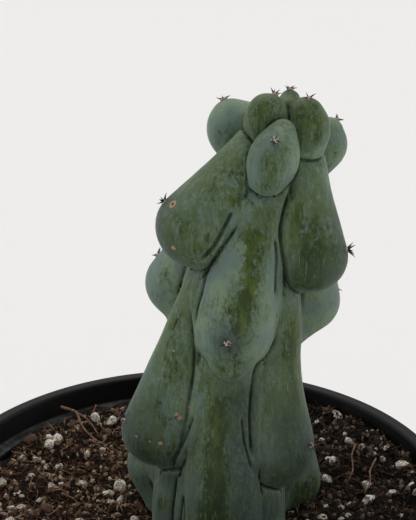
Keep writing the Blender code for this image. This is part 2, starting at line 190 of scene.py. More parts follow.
# Folds pressed into the skin: depth and width in millimetres, and a line of places, each a side in
# degrees and a height above the lip in millimetres
FOLDS = (
    (1.4, 0.6, ((243, 94.2), (242, 90), (239, 83.9), (232, 78.3))),
    (1.3, 0.6, ((251, 92.9), (248, 87.2), (241, 80.7), (236, 75.2), (236, 68.9), (235, 62.9),
                (237, 59.4))),
    (1.5, 0.7, ((290, 100), (285, 96), (283, 91.1), (284, 86.8), (290, 80.6), (300, 72.4), (308, 68))),
    (1, 0.5, ((278, 87.3), (284, 81.1), (287, 74.5), (289, 68.6))),
    (1.1, 0.6, ((223, 71.4), (231, 57.4), (237, 45.7), (239, 35.8), (240, 29), (238, 21), (224, 11.5))),
    (1, 0.5, ((246, 33.2), (241, 24), (229, 12.1))),
    (0.7, 0.6, ((218, 60), (214, 54.7))),
    (1.4, 0.6, ((302, 61), (301, 52.3), (289, 46.1), (287, 39.8), (287, 32.8), (290, 24), (292, 18.5))),
    (0.9, 0.5, ((280, 34.7), (283, 28.3), (287, 21.5), (291, 15))),
    (1, 0.5, ((233, 13.1), (232, 1.6), (232, -10))),
    (0.9, 0.5, ((240, -8), (242, 5.5), (247, -8))),
    (1.1, 0.6, ((333, 5), (331, -13))),
    (1, 0.6, ((176, 0.5), (180, -17))),
)

# Where the waxy bloom is rubbed off: from and to, each a side in degrees and a height in
# millimetres, with a half width and a strength
RUBS = (
    (265, 86, 269, 73.2, 3, 1.0), (269, 73.2, 267, 62.7, 3.2, 1.0), (268, 56.9, 268, 48, 3, 0.5),
    (251, 39.4, 274, 38.3, 3, 0.6), (266, 35.5, 266, 24, 4.2, 1.0), (266, 24, 264, -6, 4.8, 1.0),
    (216, 58.8, 223, 41.6, 3.4, 0.7), (222, 34.2, 234, 30.3, 4, 0.7), (218, 23.6, 233, 19.6, 4.5, 0.6),
    (316, 56.4, 325, 35.8, 3.6, 0.9), (311, 19.7, 322, 16.2, 3, 0.6), (294, 92.1, 299, 88.3, 2.2, 1.0),
    (309, 85.9, 315, 71.6, 5.2, 0.8), (321, 87.8, 322, 78.5, 3, 0.7), (224, 104.5, 228, 95, 4.5, 0.5),
    (217, 89.2, 236, 82.9, 5, 0.6), (233, 104.8, 245, 96, 3, 0.7), (262, 107.1, 264, 100.7, 2.4, 0.6),
    (239, 120.4, 235, 114.3, 5, 0.6), (298, 119.9, 297, 112.6, 4.5, 0.6),
    (169, -3.6, 173, -7.5, 4, 0.5), (8, -4.5, 13, -11.7, 3.5, 0.7), (120, 70, 110, 40, 4, 0.6),
    (60, 80, 66, 50, 4.5, 0.7), (20, 30, 26, 5, 4.5, 0.6), (150, 30, 160, 5, 4.5, 0.6),
    (88, 95, 88, 78, 4, 0.7), (88, 40, 92, 15, 4.5, 0.7),
)

# Where the bloom is thin all over from handling and growth
HANDLED = (
    (239, 120.4, 235, 114.3, 8.5, 1.0), (298, 119.9, 297, 112.6, 7.5, 1.0),
    (262, 110, 264, 100.7, 4.2, 0.9), (222, 106, 226, 86, 10, 1.0), (300, 100, 316, 76, 10.5, 1.0),
    (268, 92, 269, 64, 5, 0.9), (268, 60, 268, 48, 6, 0.7), (214, 68, 222, 22, 9, 1.0),
    (318, 60, 318, 18, 9, 1.0), (262, 44, 265, -15, 7, 1.0), (88, 100, 88, 78, 9, 0.9),
    (88, 55, 88, 15, 9, 0.9), (27, 35, 30, -6, 8, 0.6),
)

# Where the skin is deep blue-green, on the heavy ends of the lobes
DEEP = (
    (202, 30, 222, 13, 10.5, 1.0), (322, 28, 322, 11, 10, 0.9), (316, 76, 336, 69, 8.5, 0.8),
    (192, 94, 212, 80, 8.5, 1.0), (340, 86, 348, 71, 8, 1.0), (238, 112, 250, 109, 4, 0.4),
    (205, 5, 206, -15, 6, 0.25), (283, 39, 286, -10, 6.6, 1.0), (292, 6, 302, -12, 8, 0.5),
)

# Corky scars: side in degrees, and height and radius in millimetres
SCARS = (
    (221, 82.9, 0.6), (234, 32.3, 0.65), (237, 31.2, 0.7), (229, 23.4, 0.62), (224, 23.8, 0.36),
    (216, 24.5, 0.3), (240, 34, 0.34), (221, 49.9, 0.36), (62, 45, 0.8), (120, 25, 0.6), (340, 33, 0.6),
)
RING_SCAR = (211, 94, 1.15)

# Grid that the skin is drawn on
CELL = 0.00090
BURIED_CELL = 0.0030
COARSE = 4
SKIN_LOW = (-0.0245, -0.0345, -0.0545)
SKIN_HIGH = (0.0480, 0.0360, 0.1245)
BURIED_BELOW = -0.0180
STEM_END = -0.0520
FOLD_FLANK = 0.0024
CREASE_WIDTH = 0.00070
CREASE_DEPTH = 0.0011
FINE_FROM = 0.11
LOBE_MARGIN = 0.008
FOLD_NEAR = 0.004
GROOVE_WIDTH = 0.0015
POINT_SHIFT = 0.0005
RAY_STEP = 0.00005

# How widely the skin melts: at a lobe's neck and sides, at its free end, round a young lobe, within
# a lobe, between two ribs, and into the stem's core. BESIDE is how near counts as beside a lobe.
SIDE_MELT = 0.0062
END_MELT = 0.0026
YOUNG_MELT = 0.0014
CHAIN_MELT = 0.0040
CORE_SHARE = 0.96
RIB_MELT = 0.0015
CORE_MELT = 0.0020
BESIDE = 0.002

# Gentle unevenness of the skin: how high it rises, how far its lumps are across, and a seed
SWELLS = (0.00028, 0.011, 3)
RIPPLES = (0.00010, 0.0032, 4)

# Areoles: a pad of wool with a few stiff spines
PAD_RADIUS = 0.00115
PAD_HEIGHT = 0.00075
SHADE_WIDTH = 0.0045
HAIR_LENGTH = 0.0011
HAIR_RADIUS = 0.000035
SPINE_LENGTH = 0.0023
SPINE_RADIUS = 0.00038
SPINE_TIP = 0.00003
SPINE_BEND = 0.00035
SPINE_LIFT = 0.0001

# Fineness of the soil's top and of the pot
SOIL_RINGS = 84
SOIL_SPOKES = 400
POT_STEPS = 192
SHARP_FROM = 50

# Colours of the skin
BLOOM_GREEN = (0.192, 0.270, 0.172)
BLOOM_BLUE = (0.148, 0.216, 0.190)
THIN_BLOOM = (0.082, 0.128, 0.052)
BARE_DARK = (0.024, 0.050, 0.006)
BARE_YELLOW = (0.080, 0.122, 0.018)
# Darker skin low on the plant: painted shade near the soil, together with the deep blue-green of the
# lobes' ends
LOW_SKIN_AND_SHADE = (0.022, 0.043, 0.036)
AREOLE_SHADE = (0.030, 0.050, 0.050)
SPECK = (0.24, 0.28, 0.13)
SCRATCH = (0.215, 0.290, 0.165)
# Painted shade in the bottom of the creases
CREASE_SHADE = (0.010, 0.022, 0.006)
CORK = (0.40, 0.255, 0.135)
SCAR_MIDDLE = (0.03, 0.02, 0.012)
SPINE_DARK = (0.004, 0.003, 0.003)
SPINE_BROWN = (0.022, 0.013, 0.011)
WOOL_BROWN = (0.27, 0.20, 0.17)
WOOL_PALE = (0.60, 0.50, 0.44)

# Long fibres and twigs on the soil, in millimetres: thickness, and places with heights above the lip
FIBRES = (
    (0.56, ((-46.8, 55, -3), (-43.9, 53.9, -3.4), (-41.2, 53.1, -4.2), (-39.7, 49.4, -5.6),
            (-37.7, 46.2, -7.4), (-34.6, 43.3, -9), (-31.5, 41.3, -10.2), (-28.9, 38.1, -10.8))),
    (0.48, ((-41, 52.9, -4.4), (-38.5, 52, -5.4), (-36, 50.2, -7), (-33.3, 46.4, -9),
            (-30.8, 44.5, -10.8))),
    (0.3, ((-35, 60.5, -5), (-36.1, 55.9, -7), (-36.7, 53.7, -9))),
    (0.3, ((54.1, 30, -4), (52.2, 24, -5.2), (52, 18, -6.8), (50, 13, -8.2))),
    (0.32, ((59.6, 20, -4), (57.2, 15, -5.6), (56.6, 10, -6.8), (54.2, 4.6, -8))),
)

# Colours of the litter, from dark to pale
BARK_TONES = ((0.0, (0.004, 0.003, 0.002)), (0.50, (0.014, 0.008, 0.005)),
              (0.80, (0.040, 0.022, 0.013)), (1.0, (0.100, 0.058, 0.035)))
CRUMB_TONES = ((0.0, (0.003, 0.002, 0.0015)), (0.42, (0.010, 0.006, 0.004)),
               (0.68, (0.042, 0.023, 0.013)), (0.86, (0.125, 0.070, 0.041)),
               (1.0, (0.360, 0.265, 0.180)))
COIR_TONES = ((0.0, (0.014, 0.007, 0.004)), (0.50, (0.066, 0.031, 0.018)),
              (0.86, (0.180, 0.094, 0.055)), (1.0, (0.330, 0.215, 0.130)))
SOIL_TONES = ((0.34, (0.003, 0.002, 0.0015)), (0.50, (0.009, 0.006, 0.004)),
              (0.60, (0.040, 0.022, 0.013)), (0.72, (0.095, 0.054, 0.032)))
FIBRE_TONES = ((0.30, (0.050, 0.022, 0.012)), (0.50, (0.175, 0.082, 0.048)),
               (0.68, (0.330, 0.185, 0.115)))
# Painted shade on the soil and litter to the right of the plant
RIGHT_SOIL_SHADE = (0.004, 0.003, 0.002)
PERLITE_DULL = (0.36, 0.30, 0.23)
PERLITE_PALE = (0.80, 0.75, 0.65)
PERLITE_DIRT = (0.085, 0.052, 0.032)

# Colours of the pot
PLASTIC = (0.0028, 0.0028, 0.0029)
# Dust on what faces up, partly a painted reflection of the light from above
DUST_AND_REFLECTION = (0.085, 0.082, 0.076)
SCUFF = (0.10, 0.10, 0.10)

# Setting: the surround, the suns with their strength, width in degrees and aim, and the camera
SURROUND = (0.860, 0.855, 0.846)
SURROUND_STRENGTH = 0.42
SUNS = {
    "overhead": (1.70, 80, (0.10, -0.42, -1.0)),
    "left_side": (0.56, 50, (1.0, -0.15, -0.25)),
    "right_side": (0.56, 50, (-1.0, -0.15, -0.25)),
}
FLOOR_PAINT = (0.90, 0.892, 0.878)
FLOOR_SIZE = 8.0
FLOOR_DROP = 0.0002
CAMERA_PLACE = (0.0049, -0.3408, 0.3213)
CAMERA_TILT = 20.03
SENSOR_WIDTH = 36.0
LENS = 1251.87 / 520 * SENSOR_WIDTH


# General


def add_object(name, data):
    item = bpy.data.objects.new(name, data)
    bpy.context.scene.collection.objects.link(item)
    return item


def mesh_from(name, bm):
    mesh = bpy.data.meshes.new(name)
    bm.to_mesh(mesh)
    bm.free()
    return mesh


def merged(name, parts):
    """One mesh of several, which are then dropped."""
    bm = bmesh.new()
    for part in parts:
        bm.from_mesh(part)
        bpy.data.meshes.remove(part)
    return mesh_from(name, bm)


def corners(count):
    """Angles of evenly spaced corners."""
    return [math.tau * corner / count for corner in range(count)]


def close_tube(bm, rings):
    """Skin a row of rings of points, and cap its two ends."""
    for low, high in zip(rings, rings[1:]):
        for corner in range(len(low)):
            after = (corner + 1) % len(low)
            bm.faces.new((low[corner], low[after], high[after], high[corner]))
    bm.faces.new(rings[0][::-1])
    bm.faces.new(rings[-1])


def turn_to(direction):
    return direction.to_track_quat("Z", "Y").to_matrix().to_4x4()


def heading(side, rise):
    """Unit vector from degrees round from +X and degrees up."""
    side, rise = math.radians(side), math.radians(rise)
    return Vector((math.cos(rise) * math.cos(side), math.cos(rise) * math.sin(side), math.sin(rise)))


def ease(value, low, high):
    """Smooth step from 0 at low to 1 at high."""
    share = np.clip((value - low) / (high - low), 0.0, 1.0)
    return share * share * (3.0 - 2.0 * share)


def soft_noise(points, size, seed):
    """Smooth noise between -1 and 1 whose lumps are about size across."""
    draw = np.random.default_rng(seed)
    table = draw.uniform(-1.0, 1.0, (64, 64, 64))
    place = points / size + 1000.0
    base = np.floor(place).astype(int)
    part = place - base
    part = part * part * (3.0 - 2.0 * part)
    total = np.zeros(len(points))
    for corner in range(8):
        step = np.array((corner & 1, corner >> 1 & 1, corner >> 2 & 1))
        weight = np.where(step, part, 1.0 - part).prod(axis=1)
        spot = (base + step) % 64
        total += weight * table[spot[:, 0], spot[:, 1], spot[:, 2]]
    return total


# Cactus

Ball = namedtuple("Ball", "side reach height radius")
Lobe = namedtuple("Lobe", "chains areole share young")


def lobes_of(table, young=False):
    """Lobes of a table, with their lengths in metres."""
    return [Lobe([[Ball(side, *(length * MM for length in lengths)) for side, *lengths in chain]
                  for chain in chains], areole, share, young) for areole, share, *chains in table]


LOBES = lobes_of(ROOTED) + lobes_of(HANGING) + lobes_of(CROWN, young=True)


def stem_centre(height):
    """Sideways place of the stem's centre line at a height above the lip."""
    return float(np.interp(height, [line[1] for line in STEM_LINE], [line[0] for line in STEM_LINE]))


def ball_centre(ball):
    """Centre of a ball, with its height above the lip."""
    angle = math.radians(ball.side)
    across = stem_centre(ball.height) + ball.reach * math.cos(angle)
    return np.array((across, ball.reach * math.sin(angle), ball.height))


def round_cone(points, start, end, first, last):
    """Distance to the solid round two balls, and the share of the way from first to last."""
    axis = end - start
    length = float(np.sqrt(axis @ axis))
    lean = (first - last) / length
    flank = math.sqrt(max(1e-9, 1.0 - lean * lean))
    away = points - start
    along = away @ (axis / length)
    out = np.sqrt(np.maximum((away * away).sum(axis=1) - along * along, 0.0))
    key = flank * along - lean * out
    side = out * flank + along * lean - first
    near_start = np.sqrt(out * out + along * along) - first
    near_end = np.sqrt(out * out + (along - length) ** 2) - last
    distance = np.where(key < 0, near_start, np.where(key > flank * length, near_end, side))
    return distance, np.clip(key / (flank * length), 0.0, 1.0)


def smooth_chain(balls):
    """Centres and radii along a soft curve through a chain of balls."""
    keys = np.array([[*ball_centre(ball), ball.radius] for ball in balls])
    line = keys if len(balls) == 2 else soft_line(keys)
    return line[:, :3], line[:, 3]


def chain_distance(points, balls):
    """Distance to a chain of balls, and the share of the way down it."""
    centres, radii = smooth_chain(balls)
    count = len(centres) - 1
    best, share = None, None
    for index in range(count):
        distance, part = round_cone(points, *centres[index:index + 2], *radii[index:index + 2])
        part = (index + part) / count
        if best is None:
            best, share = distance, part
        else:
            nearer = distance < best
            best, share = np.where(nearer, distance, best), np.where(nearer, part, share)
    return best, share


def melt(first, second, width):
    """Smaller of two distances, with the corner between them rounded over a width."""
    overlap = np.maximum(width - np.abs(first - second), 0.0) / width
    return np.minimum(first, second) - overlap * overlap * width / 4


def stem_distance(points):
    """Distance to the stem's core, and to each of its six shallow ribs."""
    lines = np.array(STEM_LINE)
    core = None
    ribs = [None] * len(RIBS)
    for low, high in zip(lines, lines[1:]):
        start, end = np.array((low[0], 0.0, low[1])), np.array((high[0], 0.0, high[1]))
        distance, _ = round_cone(points, start, end, CORE_SHARE * low[2], CORE_SHARE * high[2])
        core = distance if core is None else np.minimum(core, distance)
        for index, side in enumerate(RIBS):
            out = np.array((math.cos(math.radians(side)), math.sin(math.radians(side)), 0.0))
            distance, _ = round_cone(
                points, start + RIB_REACH * low[2] * out, end + RIB_REACH * high[2] * out,
                RIB_WIDTH * low[2], RIB_WIDTH * high[2])
            ribs[index] = distance if ribs[index] is None else np.minimum(ribs[index], distance)
    return core, ribs


def lobe_distance(points, lobe):
    """Distance to a lobe, the share of the way down it, and how free of the stem it is there."""
    distance, share = chain_distance(points, lobe.chains[0])
    for balls in lobe.chains[1:]:
        other, part = chain_distance(points, balls)
        share = np.where(other < distance, part, share)
        distance = melt(distance, other, CHAIN_MELT)
    if lobe.young:
        return distance, np.maximum(share, 0.6), np.ones(len(points))
    last = [ball_centre(ball) for ball in lobe.chains[0][-2:]]
    axis = (last[1] - last[0]) / np.linalg.norm(last[1] - last[0])
    below = (points - last[1]) @ axis / lobe.chains[0][-1].radius
    return distance, share, ease(below, -0.4, 0.5)


def near_lobe(points, lobe):
    """Which points lie in the box round a lobe."""
    balls = [ball for chain in lobe.chains for ball in chain]
    centres = np.array([ball_centre(ball) for ball in balls])
    reach = max(ball.radius for ball in balls) + LOBE_MARGIN
    low, high = centres.min(axis=0) - reach, centres.max(axis=0) + reach
    return np.nonzero(((points > low) & (points < high)).all(axis=1))[0]


def soft_line(keys, steps=5):
    """Places along a soft curve through a row of keys."""
    keys = np.asarray(keys, float)
    padded = np.vstack((2 * keys[0] - keys[1], keys, 2 * keys[-1] - keys[-2]))
    line = []
    for index in range(len(keys) - 1):
        before, start, end, after = padded[index:index + 4]
        for share in np.arange(steps) / steps:
            line.append(0.5 * (2 * start + (end - before) * share
                               + (2 * before - 5 * start + 4 * end - after) * share ** 2
                               + (3 * start - 3 * end + after - before) * share ** 3))
    return np.array(line + [keys[-1]])


def round_stem(points):
    """Side in degrees, height and reach of points round the stem's centre line."""
    lines = np.array(STEM_LINE)
    across = points[:, 0] - np.interp(points[:, 2], lines[:, 1], lines[:, 0])
    side = np.degrees(np.arctan2(points[:, 1], across)) % 360
    return side, points[:, 2], np.hypot(across, points[:, 1])


def off_line(side, height, reach, start, end):
    """Distance over the skin from a line between two places, and the share of the way along it."""
    turn = (side - start[0] + 180) % 360 - 180
    out = np.radians(turn) * reach
    run = np.radians(end[0] - start[0]) * reach
    rise = end[1] - start[1]
    up = height - start[1]
    share = np.clip((out * run + up * rise) / (run * run + rise * rise + 1e-12), 0.0, 1.0)
    return np.hypot(out - share * run, up - share * rise), share


def fold_depth(points):
    """How deep the folds press in at each point, and how nearly it lies in one, from 0 to 1."""
    side, height, reach = round_stem(points)
    depth, mark = np.zeros(len(points)), np.zeros(len(points))
    for deep, width, places in FOLDS:
        line = soft_line([(place[0], place[1] * MM) for place in places], 4)
        count = len(line) - 1
        for index in range(count):
            off, share = off_line(side, height, reach, line[index], line[index + 1])
            way = (index + share) / count
            fade = np.minimum(ease(way, 0.0, 0.22) * ease(1.0 - way, 0.0, 0.18) + 0.15, 1.0)
            value = np.exp(-(off / (width * MM)) ** 2) * fade
            mark = np.maximum(mark, value)
            wide = np.exp(-(off / FOLD_FLANK) ** 2) * fade
            depth = np.maximum(depth, deep * MM * (0.88 * value + 0.12 * wide))
    return depth, mark


def skin_distance(points):
    """Distance to the skin, and how nearly each point lies in a crease."""
    core, ribs = stem_distance(points)
    ranked = np.sort(np.array(ribs), axis=0)
    body = melt(melt(ranked[0], ranked[1], RIB_MELT), core, CORE_MELT)
    lowest, skin = body.copy(), body.copy()
    second = np.ones(len(points))
    crisp, edge = np.zeros(len(points)), np.zeros(len(points))
    for lobe in LOBES:
        near = near_lobe(points, lobe)
        distance, share, free = lobe_distance(points[near], lobe)
        end_melt = YOUNG_MELT if lobe.young else END_MELT
        skin[near] = melt(skin[near], distance, SIDE_MELT * (1 - free) + end_melt * free)
        now = lowest[near]
        closer, beside = distance < now, distance < now + BESIDE
        for marks, mark in ((crisp, np.maximum(ease(share, 0.22, 0.45), free)), (edge, free)):
            marks[near] = np.where(closer, mark, np.maximum(marks[near], np.where(beside, mark, 0.0)))
        second[near] = np.where(closer, now, np.minimum(second[near], distance))
        lowest[near] = np.minimum(now, distance)
    skin = np.maximum(skin, STEM_END - points[:, 2])
    crease = crisp * np.exp(-((second - lowest) / CREASE_WIDTH) ** 2)
    plain = np.exp(-((body - lowest) / GROOVE_WIDTH) ** 2)
    crease = np.maximum(crease, 0.55 * plain * np.exp(-((ranked[1] - ranked[0]) / CREASE_WIDTH) ** 2))
    near = np.nonzero(np.abs(skin) < FOLD_NEAR)[0]
    depth, mark = fold_depth(points[near])
    front = ease(-points[near, 1], 0.004, 0.010) * ease(0.104 - points[near, 2], 0.0, 0.006)
    crease[near] *= 1 - 0.75 * front * (1 - edge[near])
    skin[near] += depth
    pressed = CREASE_DEPTH * crease
    crease[near] = np.maximum(crease[near], mark)
    return skin + pressed, crease


def skin_relief(points):
    """Gentle unevenness of a grown skin, drawn out upwards where it is fine."""
    upright = points * np.array((1.0, 1.0, 0.35))
    swells = SWELLS[0] * soft_noise(points, *SWELLS[1:])
    return swells + RIPPLES[0] * soft_noise(upright, *RIPPLES[1:])


def skin_grid():
    xs = np.arange(SKIN_LOW[0], SKIN_HIGH[0] + CELL, CELL)
    ys = np.arange(SKIN_LOW[1], SKIN_HIGH[1] + CELL, CELL)
    buried = np.arange(SKIN_LOW[2], BURIED_BELOW, BURIED_CELL)
    zs = np.concatenate((buried, np.arange(buried[-1] + BURIED_CELL, SKIN_HIGH[2] + CELL, CELL)))
    return xs, ys, zs


def surface_faces(inside, index, shape):
    """Quads round each grid edge whose two ends lie on different sides of the skin."""
    faces = []
    for axis in range(3):
        one = [slice(1, size - 1) for size in shape]
        two = [slice(1, size - 1) for size in shape]
        one[axis] = slice(0, shape[axis] - 1)
        two[axis] = slice(1, shape[axis])
        start, end = inside[tuple(one)], inside[tuple(two)]
        spots = np.argwhere(start != end)
        leaving = start[tuple(spots.T)]
        spots = spots + np.array([0 if side == axis else 1 for side in range(3)])
        side_a, side_b = (axis + 1) % 3, (axis + 2) % 3
        cells = []
        for back_a, back_b in ((1, 1), (0, 1), (0, 0), (1, 0)):
            cell = spots.copy()
            cell[:, side_a] -= back_a
            cell[:, side_b] -= back_b
            cells.append(index[tuple(cell.T)])
        quads = np.array(cells).T
        quads[~leaving] = quads[~leaving][:, ::-1]
        faces.append(quads)
    return np.concatenate(faces)


def surface_points(field, cells):
    """One point a cell: the mean of the places where the skin crosses its edges."""
    total = np.zeros((len(cells), 3))
    count = np.zeros(len(cells))
    for axis in range(3):
        for corner in range(4):
            low = np.zeros(3, int)
            low[(axis + 1) % 3] = corner & 1
            low[(axis + 2) % 3] = corner >> 1
            high = low.copy()
            high[axis] = 1
            value_low = field[tuple((cells + low).T)]
            value_high = field[tuple((cells + high).T)]
            crosses = (value_low < 0) != (value_high < 0)
            share = np.where(crosses, value_low / np.where(crosses, value_low - value_high, 1.0), 0.0)
            spot = low + share[:, None] * (high - low)
            total += np.where(crosses[:, None], spot, 0.0)
            count += crosses
    return cells + total / count[:, None]


def whole_distance(points):
    return skin_distance(points)[0] + skin_relief(points)


def skin_field(lines):
    """Distance at every point of the grid, worked out finely only where the skin can be near."""
    shape = tuple(len(line) for line in lines)
    picks = [np.unique(np.append(np.arange(0, size, COARSE), size - 1)) for size in shape]
    coarse = [line[pick] for line, pick in zip(lines, picks)]
    rough = np.stack(np.meshgrid(*coarse, indexing="ij"), axis=-1)
    value = whole_distance(rough.reshape(-1, 3)).reshape(rough.shape[:3])
    nearest = [np.abs(line[:, None] - few[None, :]).argmin(axis=1) for line, few in zip(lines, coarse)]
    field = value[np.ix_(*nearest)]
    gaps = [(line - few[near]) ** 2 for line, few, near in zip(lines, coarse, nearest)]
    away = np.sqrt(gaps[0][:, None, None] + gaps[1][None, :, None] + gaps[2][None, None, :])
    near = np.argwhere(np.abs(field) < away * 1.1 + 0.0016)
    spots = np.column_stack([line[near[:, axis]] for axis, line in enumerate(lines)])
    field[tuple(near.T)] = whole_distance(spots)
    return fill_doubtful(field)


def fill_doubtful(field):
    """Make solid the corners of the grid where the skin would touch itself along an edge."""
    for _ in range(4):
        inside = field < 0
        for axis in range(3):
            flat = np.moveaxis(inside, axis, 0)
            spot = np.moveaxis(field, axis, 0)
            first, second = flat[:, :-1, :-1], flat[:, 1:, :-1]
            third, fourth = flat[:, :-1, 1:], flat[:, 1:, 1:]
            crossed = (first == fourth) & (second == third) & (first != second)
            for view in (spot[:, :-1, :-1], spot[:, 1:, :-1], spot[:, :-1, 1:], spot[:, 1:, 1:]):
                view[crossed & (view >= 0)] = -0.00001
    return field


def draw_skin():
    """Points and quads of the skin, found on the grid, with heights above the lip."""
    lines = skin_grid()
    field = skin_field(lines)
    shape = field.shape
    inside = field < 0
    corner_sum = np.zeros([size - 1 for size in shape], np.int8)
    for corner in range(8):
        i, j, k = corner & 1, corner >> 1 & 1, corner >> 2 & 1
        corner_sum += inside[i:shape[0] - 1 + i, j:shape[1] - 1 + j, k:shape[2] - 1 + k]
    mixed = (corner_sum > 0) & (corner_sum < 8)
    index = np.full(mixed.shape, -1)
    cells = np.argwhere(mixed)
    index[tuple(cells.T)] = np.arange(len(cells))
    spots = surface_points(field, cells)
    world = np.column_stack([np.interp(spots[:, axis], np.arange(len(line)), line)
                             for axis, line in enumerate(lines)])
    return world, surface_faces(inside, index, shape)


def fine_skin():
    """Skin mesh, with its faces cut finer along the creases and each point moved onto the skin."""
    points, quads = draw_skin()
    crease = skin_distance(points)[1]
    mesh = bpy.data.meshes.new("cactus_skin")
    mesh.from_pydata(points.tolist(), [], quads.tolist())
    bm = bmesh.new()
    bm.from_mesh(mesh)
    bm.verts.ensure_lookup_table()
    bm.faces.ensure_lookup_table()
    marked = crease[quads].max(axis=1) > FINE_FROM
    edges = {edge for number in np.nonzero(marked)[0] for edge in bm.faces[number].edges}
    bmesh.ops.subdivide_edges(bm, edges=list(edges), cuts=1, use_grid_fill=True)
    for _ in range(2):
        bm.normal_update()
        places = np.array([point.co[:] for point in bm.verts])
        outward = np.array([point.normal[:] for point in bm.verts])
        off = np.clip(whole_distance(places), -POINT_SHIFT, POINT_SHIFT)
        off[places[:, 2] < BURIED_BELOW] = 0.0
        for point, place in zip(bm.verts, (places - off[:, None] * outward).tolist()):
            point.co = place
    bm.to_mesh(mesh)
    bm.free()
    return mesh


def give_attribute(mesh, name, values):
    layer = mesh.attributes.new(name, "FLOAT", "POINT")
    layer.data.foreach_set("value", np.asarray(values, np.float32))


def patches(points, rubs):
    """How strongly each point lies in one of the patches."""
    side, height, reach = round_stem(points)
    worn = np.zeros(len(points))
    for start, low, end, high, width, strength in rubs:
        off, _ = off_line(side, height, reach, (start, low * MM), (end, high * MM))
        worn = np.maximum(worn, strength * np.exp(-(off / (width * MM)) ** 2))
    return worn


def on_skin(centre, outward, reach=0.022):
    """Where a ray from inside a lobe leaves the skin."""
    ray = np.array(centre) + np.arange(0.0, reach, RAY_STEP)[:, None] * np.array(outward)
    return Vector(ray[np.nonzero(whole_distance(ray) < 0)[0][-1]])


def skin_place(side, height):
    """Place on the skin at a side and a height above the lip."""
    spot = on_skin((stem_centre(height), 0.0, height), heading(side, 0), 0.045)
    return (spot.x, spot.y, spot.z + POT_HEIGHT)


def areole_places():
    """Place on the skin, outward direction and youth of each areole, with heights above the lip."""
    places = []
    for lobe in LOBES:
        if lobe.areole is not None:
            first, last = (ball_centre(ball) for ball in lobe.chains[0][-2:])
            outward = heading(*lobe.areole)
            places.append((on_skin(first + (last - first) * lobe.share, outward), outward, lobe.young))
    return places


def make_skin(places):
    mesh = fine_skin()
    points = np.array([point.co[:] for point in mesh.vertices])
    give_attribute(mesh, "crease", skin_distance(points)[1])
    for name, rubs in (("rubbed", RUBS), ("handled", HANDLED), ("deep", DEEP)):
        give_attribute(mesh, name, patches(points, rubs))
    shade = np.zeros(len(points))
    for place, _, young in places:
        away = np.linalg.norm(points - np.array(place), axis=1)
        shade = np.maximum(shade, (0.3 if young else 1.0) * np.exp(-(away / SHADE_WIDTH) ** 2))
    give_attribute(mesh, "shade", shade)
    hanging = np.array([place for place, _, young in places if not young])
    nearest = np.linalg.norm(points[:, None, :] - hanging[None, :, :], axis=2).min(axis=1)
    give_attribute(mesh, "ripple", np.minimum(nearest / MM, 12.0))
    mesh.vertices.foreach_set("co", (points + np.array((0.0, 0.0, POT_HEIGHT))).ravel())
    mesh.update()
    mesh.shade_smooth()
    skin = add_object("cactus_skin", mesh)
    skin.data.materials.append(skin_material())
    return skin


# What grows on the areoles


def pad_meshes(places):
    """Small domes of felt, one on each areole, seated in the skin."""
    draw = random.Random(5)
    for place, outward, _ in places:
        bm = bmesh.new()
        bmesh.ops.create_icosphere(bm, subdivisions=2, radius=1.0)
        for point in bm.verts:
            point.co *= draw.uniform(0.88, 1.08)
        size = PAD_RADIUS * draw.uniform(0.85, 1.05)
        flatten = Matrix.Diagonal((size, size * 0.85, PAD_HEIGHT, 1.0))
        lift = Matrix.Translation(place + Vector((0, 0, POT_HEIGHT)))
        bmesh.ops.transform(bm, matrix=lift @ turn_to(outward) @ flatten, verts=bm.verts)
        yield mesh_from("pad", bm)


def spine_roots(places):
    """A point for each spine, with the way it grows and its length kept as attributes."""
    draw = random.Random(11)
    roots, aims, sizes = [], [], []
    for place, outward, young in places:
        turn = turn_to(outward).to_3x3()
        start = draw.uniform(0, 360)
        count = draw.choice((4, 5, 5))
        for index in range(count):
            lean = draw.uniform(14, 50)
            aim = turn @ heading(start + 360 * index / count + draw.uniform(-18, 18), lean)
            seat = aim * PAD_RADIUS * 0.46 + outward * SPINE_LIFT
            roots.append(place + Vector((0, 0, POT_HEIGHT)) + seat)
            aims.append(aim)
            sizes.append(draw.uniform(0.75, 1.15) * (0.78 if young else 1.0))
    mesh = bpy.data.meshes.new("spines")
    mesh.from_pydata(roots, [], [])
    layer = mesh.attributes.new("aim", "FLOAT_VECTOR", "POINT")
    layer.data.foreach_set("vector", np.array([tuple(aim) for aim in aims], np.float32).ravel())
    give_attribute(mesh, "size", sizes)
    return mesh


# Geometry Nodes


class Value:
    """A number that a tree works out, which takes plain sums."""

    def __init__(self, tree, socket):
        self.tree, self.socket = tree, socket

    def maths(self, operation, other=0.0):
        node = add_node(self.tree, "ShaderNodeMath", {0: self, 1: other}, operation=operation)
        return Value(self.tree, node.outputs[0])

    def __add__(self, other):
        return self.maths("ADD", other)

    def __sub__(self, other):
        return self.maths("SUBTRACT", other)

    def __mul__(self, other):
        return self.maths("MULTIPLY", other)

    def __truediv__(self, other):
        return self.maths("DIVIDE", other)

    def between(self, low, high):
        """0 at low and 1 at high, with a soft start and end."""
        node = add_node(self.tree, "ShaderNodeMapRange", {
            "Value": self, "From Min": low, "From Max": high}, interpolation_type="SMOOTHSTEP")
        return Value(self.tree, node.outputs[0])


def connect(tree, socket, value):
    """Link a socket to a value of the tree, or set it."""
    if isinstance(value, Value):
        value = value.socket
    if isinstance(value, bpy.types.NodeSocket):
        tree.links.new(value, socket)
    elif socket.type == "RGBA":
        socket.default_value = (*value, 1.0)
    else:
        socket.default_value = value


def add_node(tree, kind, inputs=None, **settings):
    """Add a node, set its properties, and set or link its inputs by name or number."""
    node = tree.nodes.new(kind)
    for name, value in settings.items():
        setattr(node, name, value)
    for key, value in (inputs or {}).items():
        connect(tree, node.inputs[key], value)
    return node


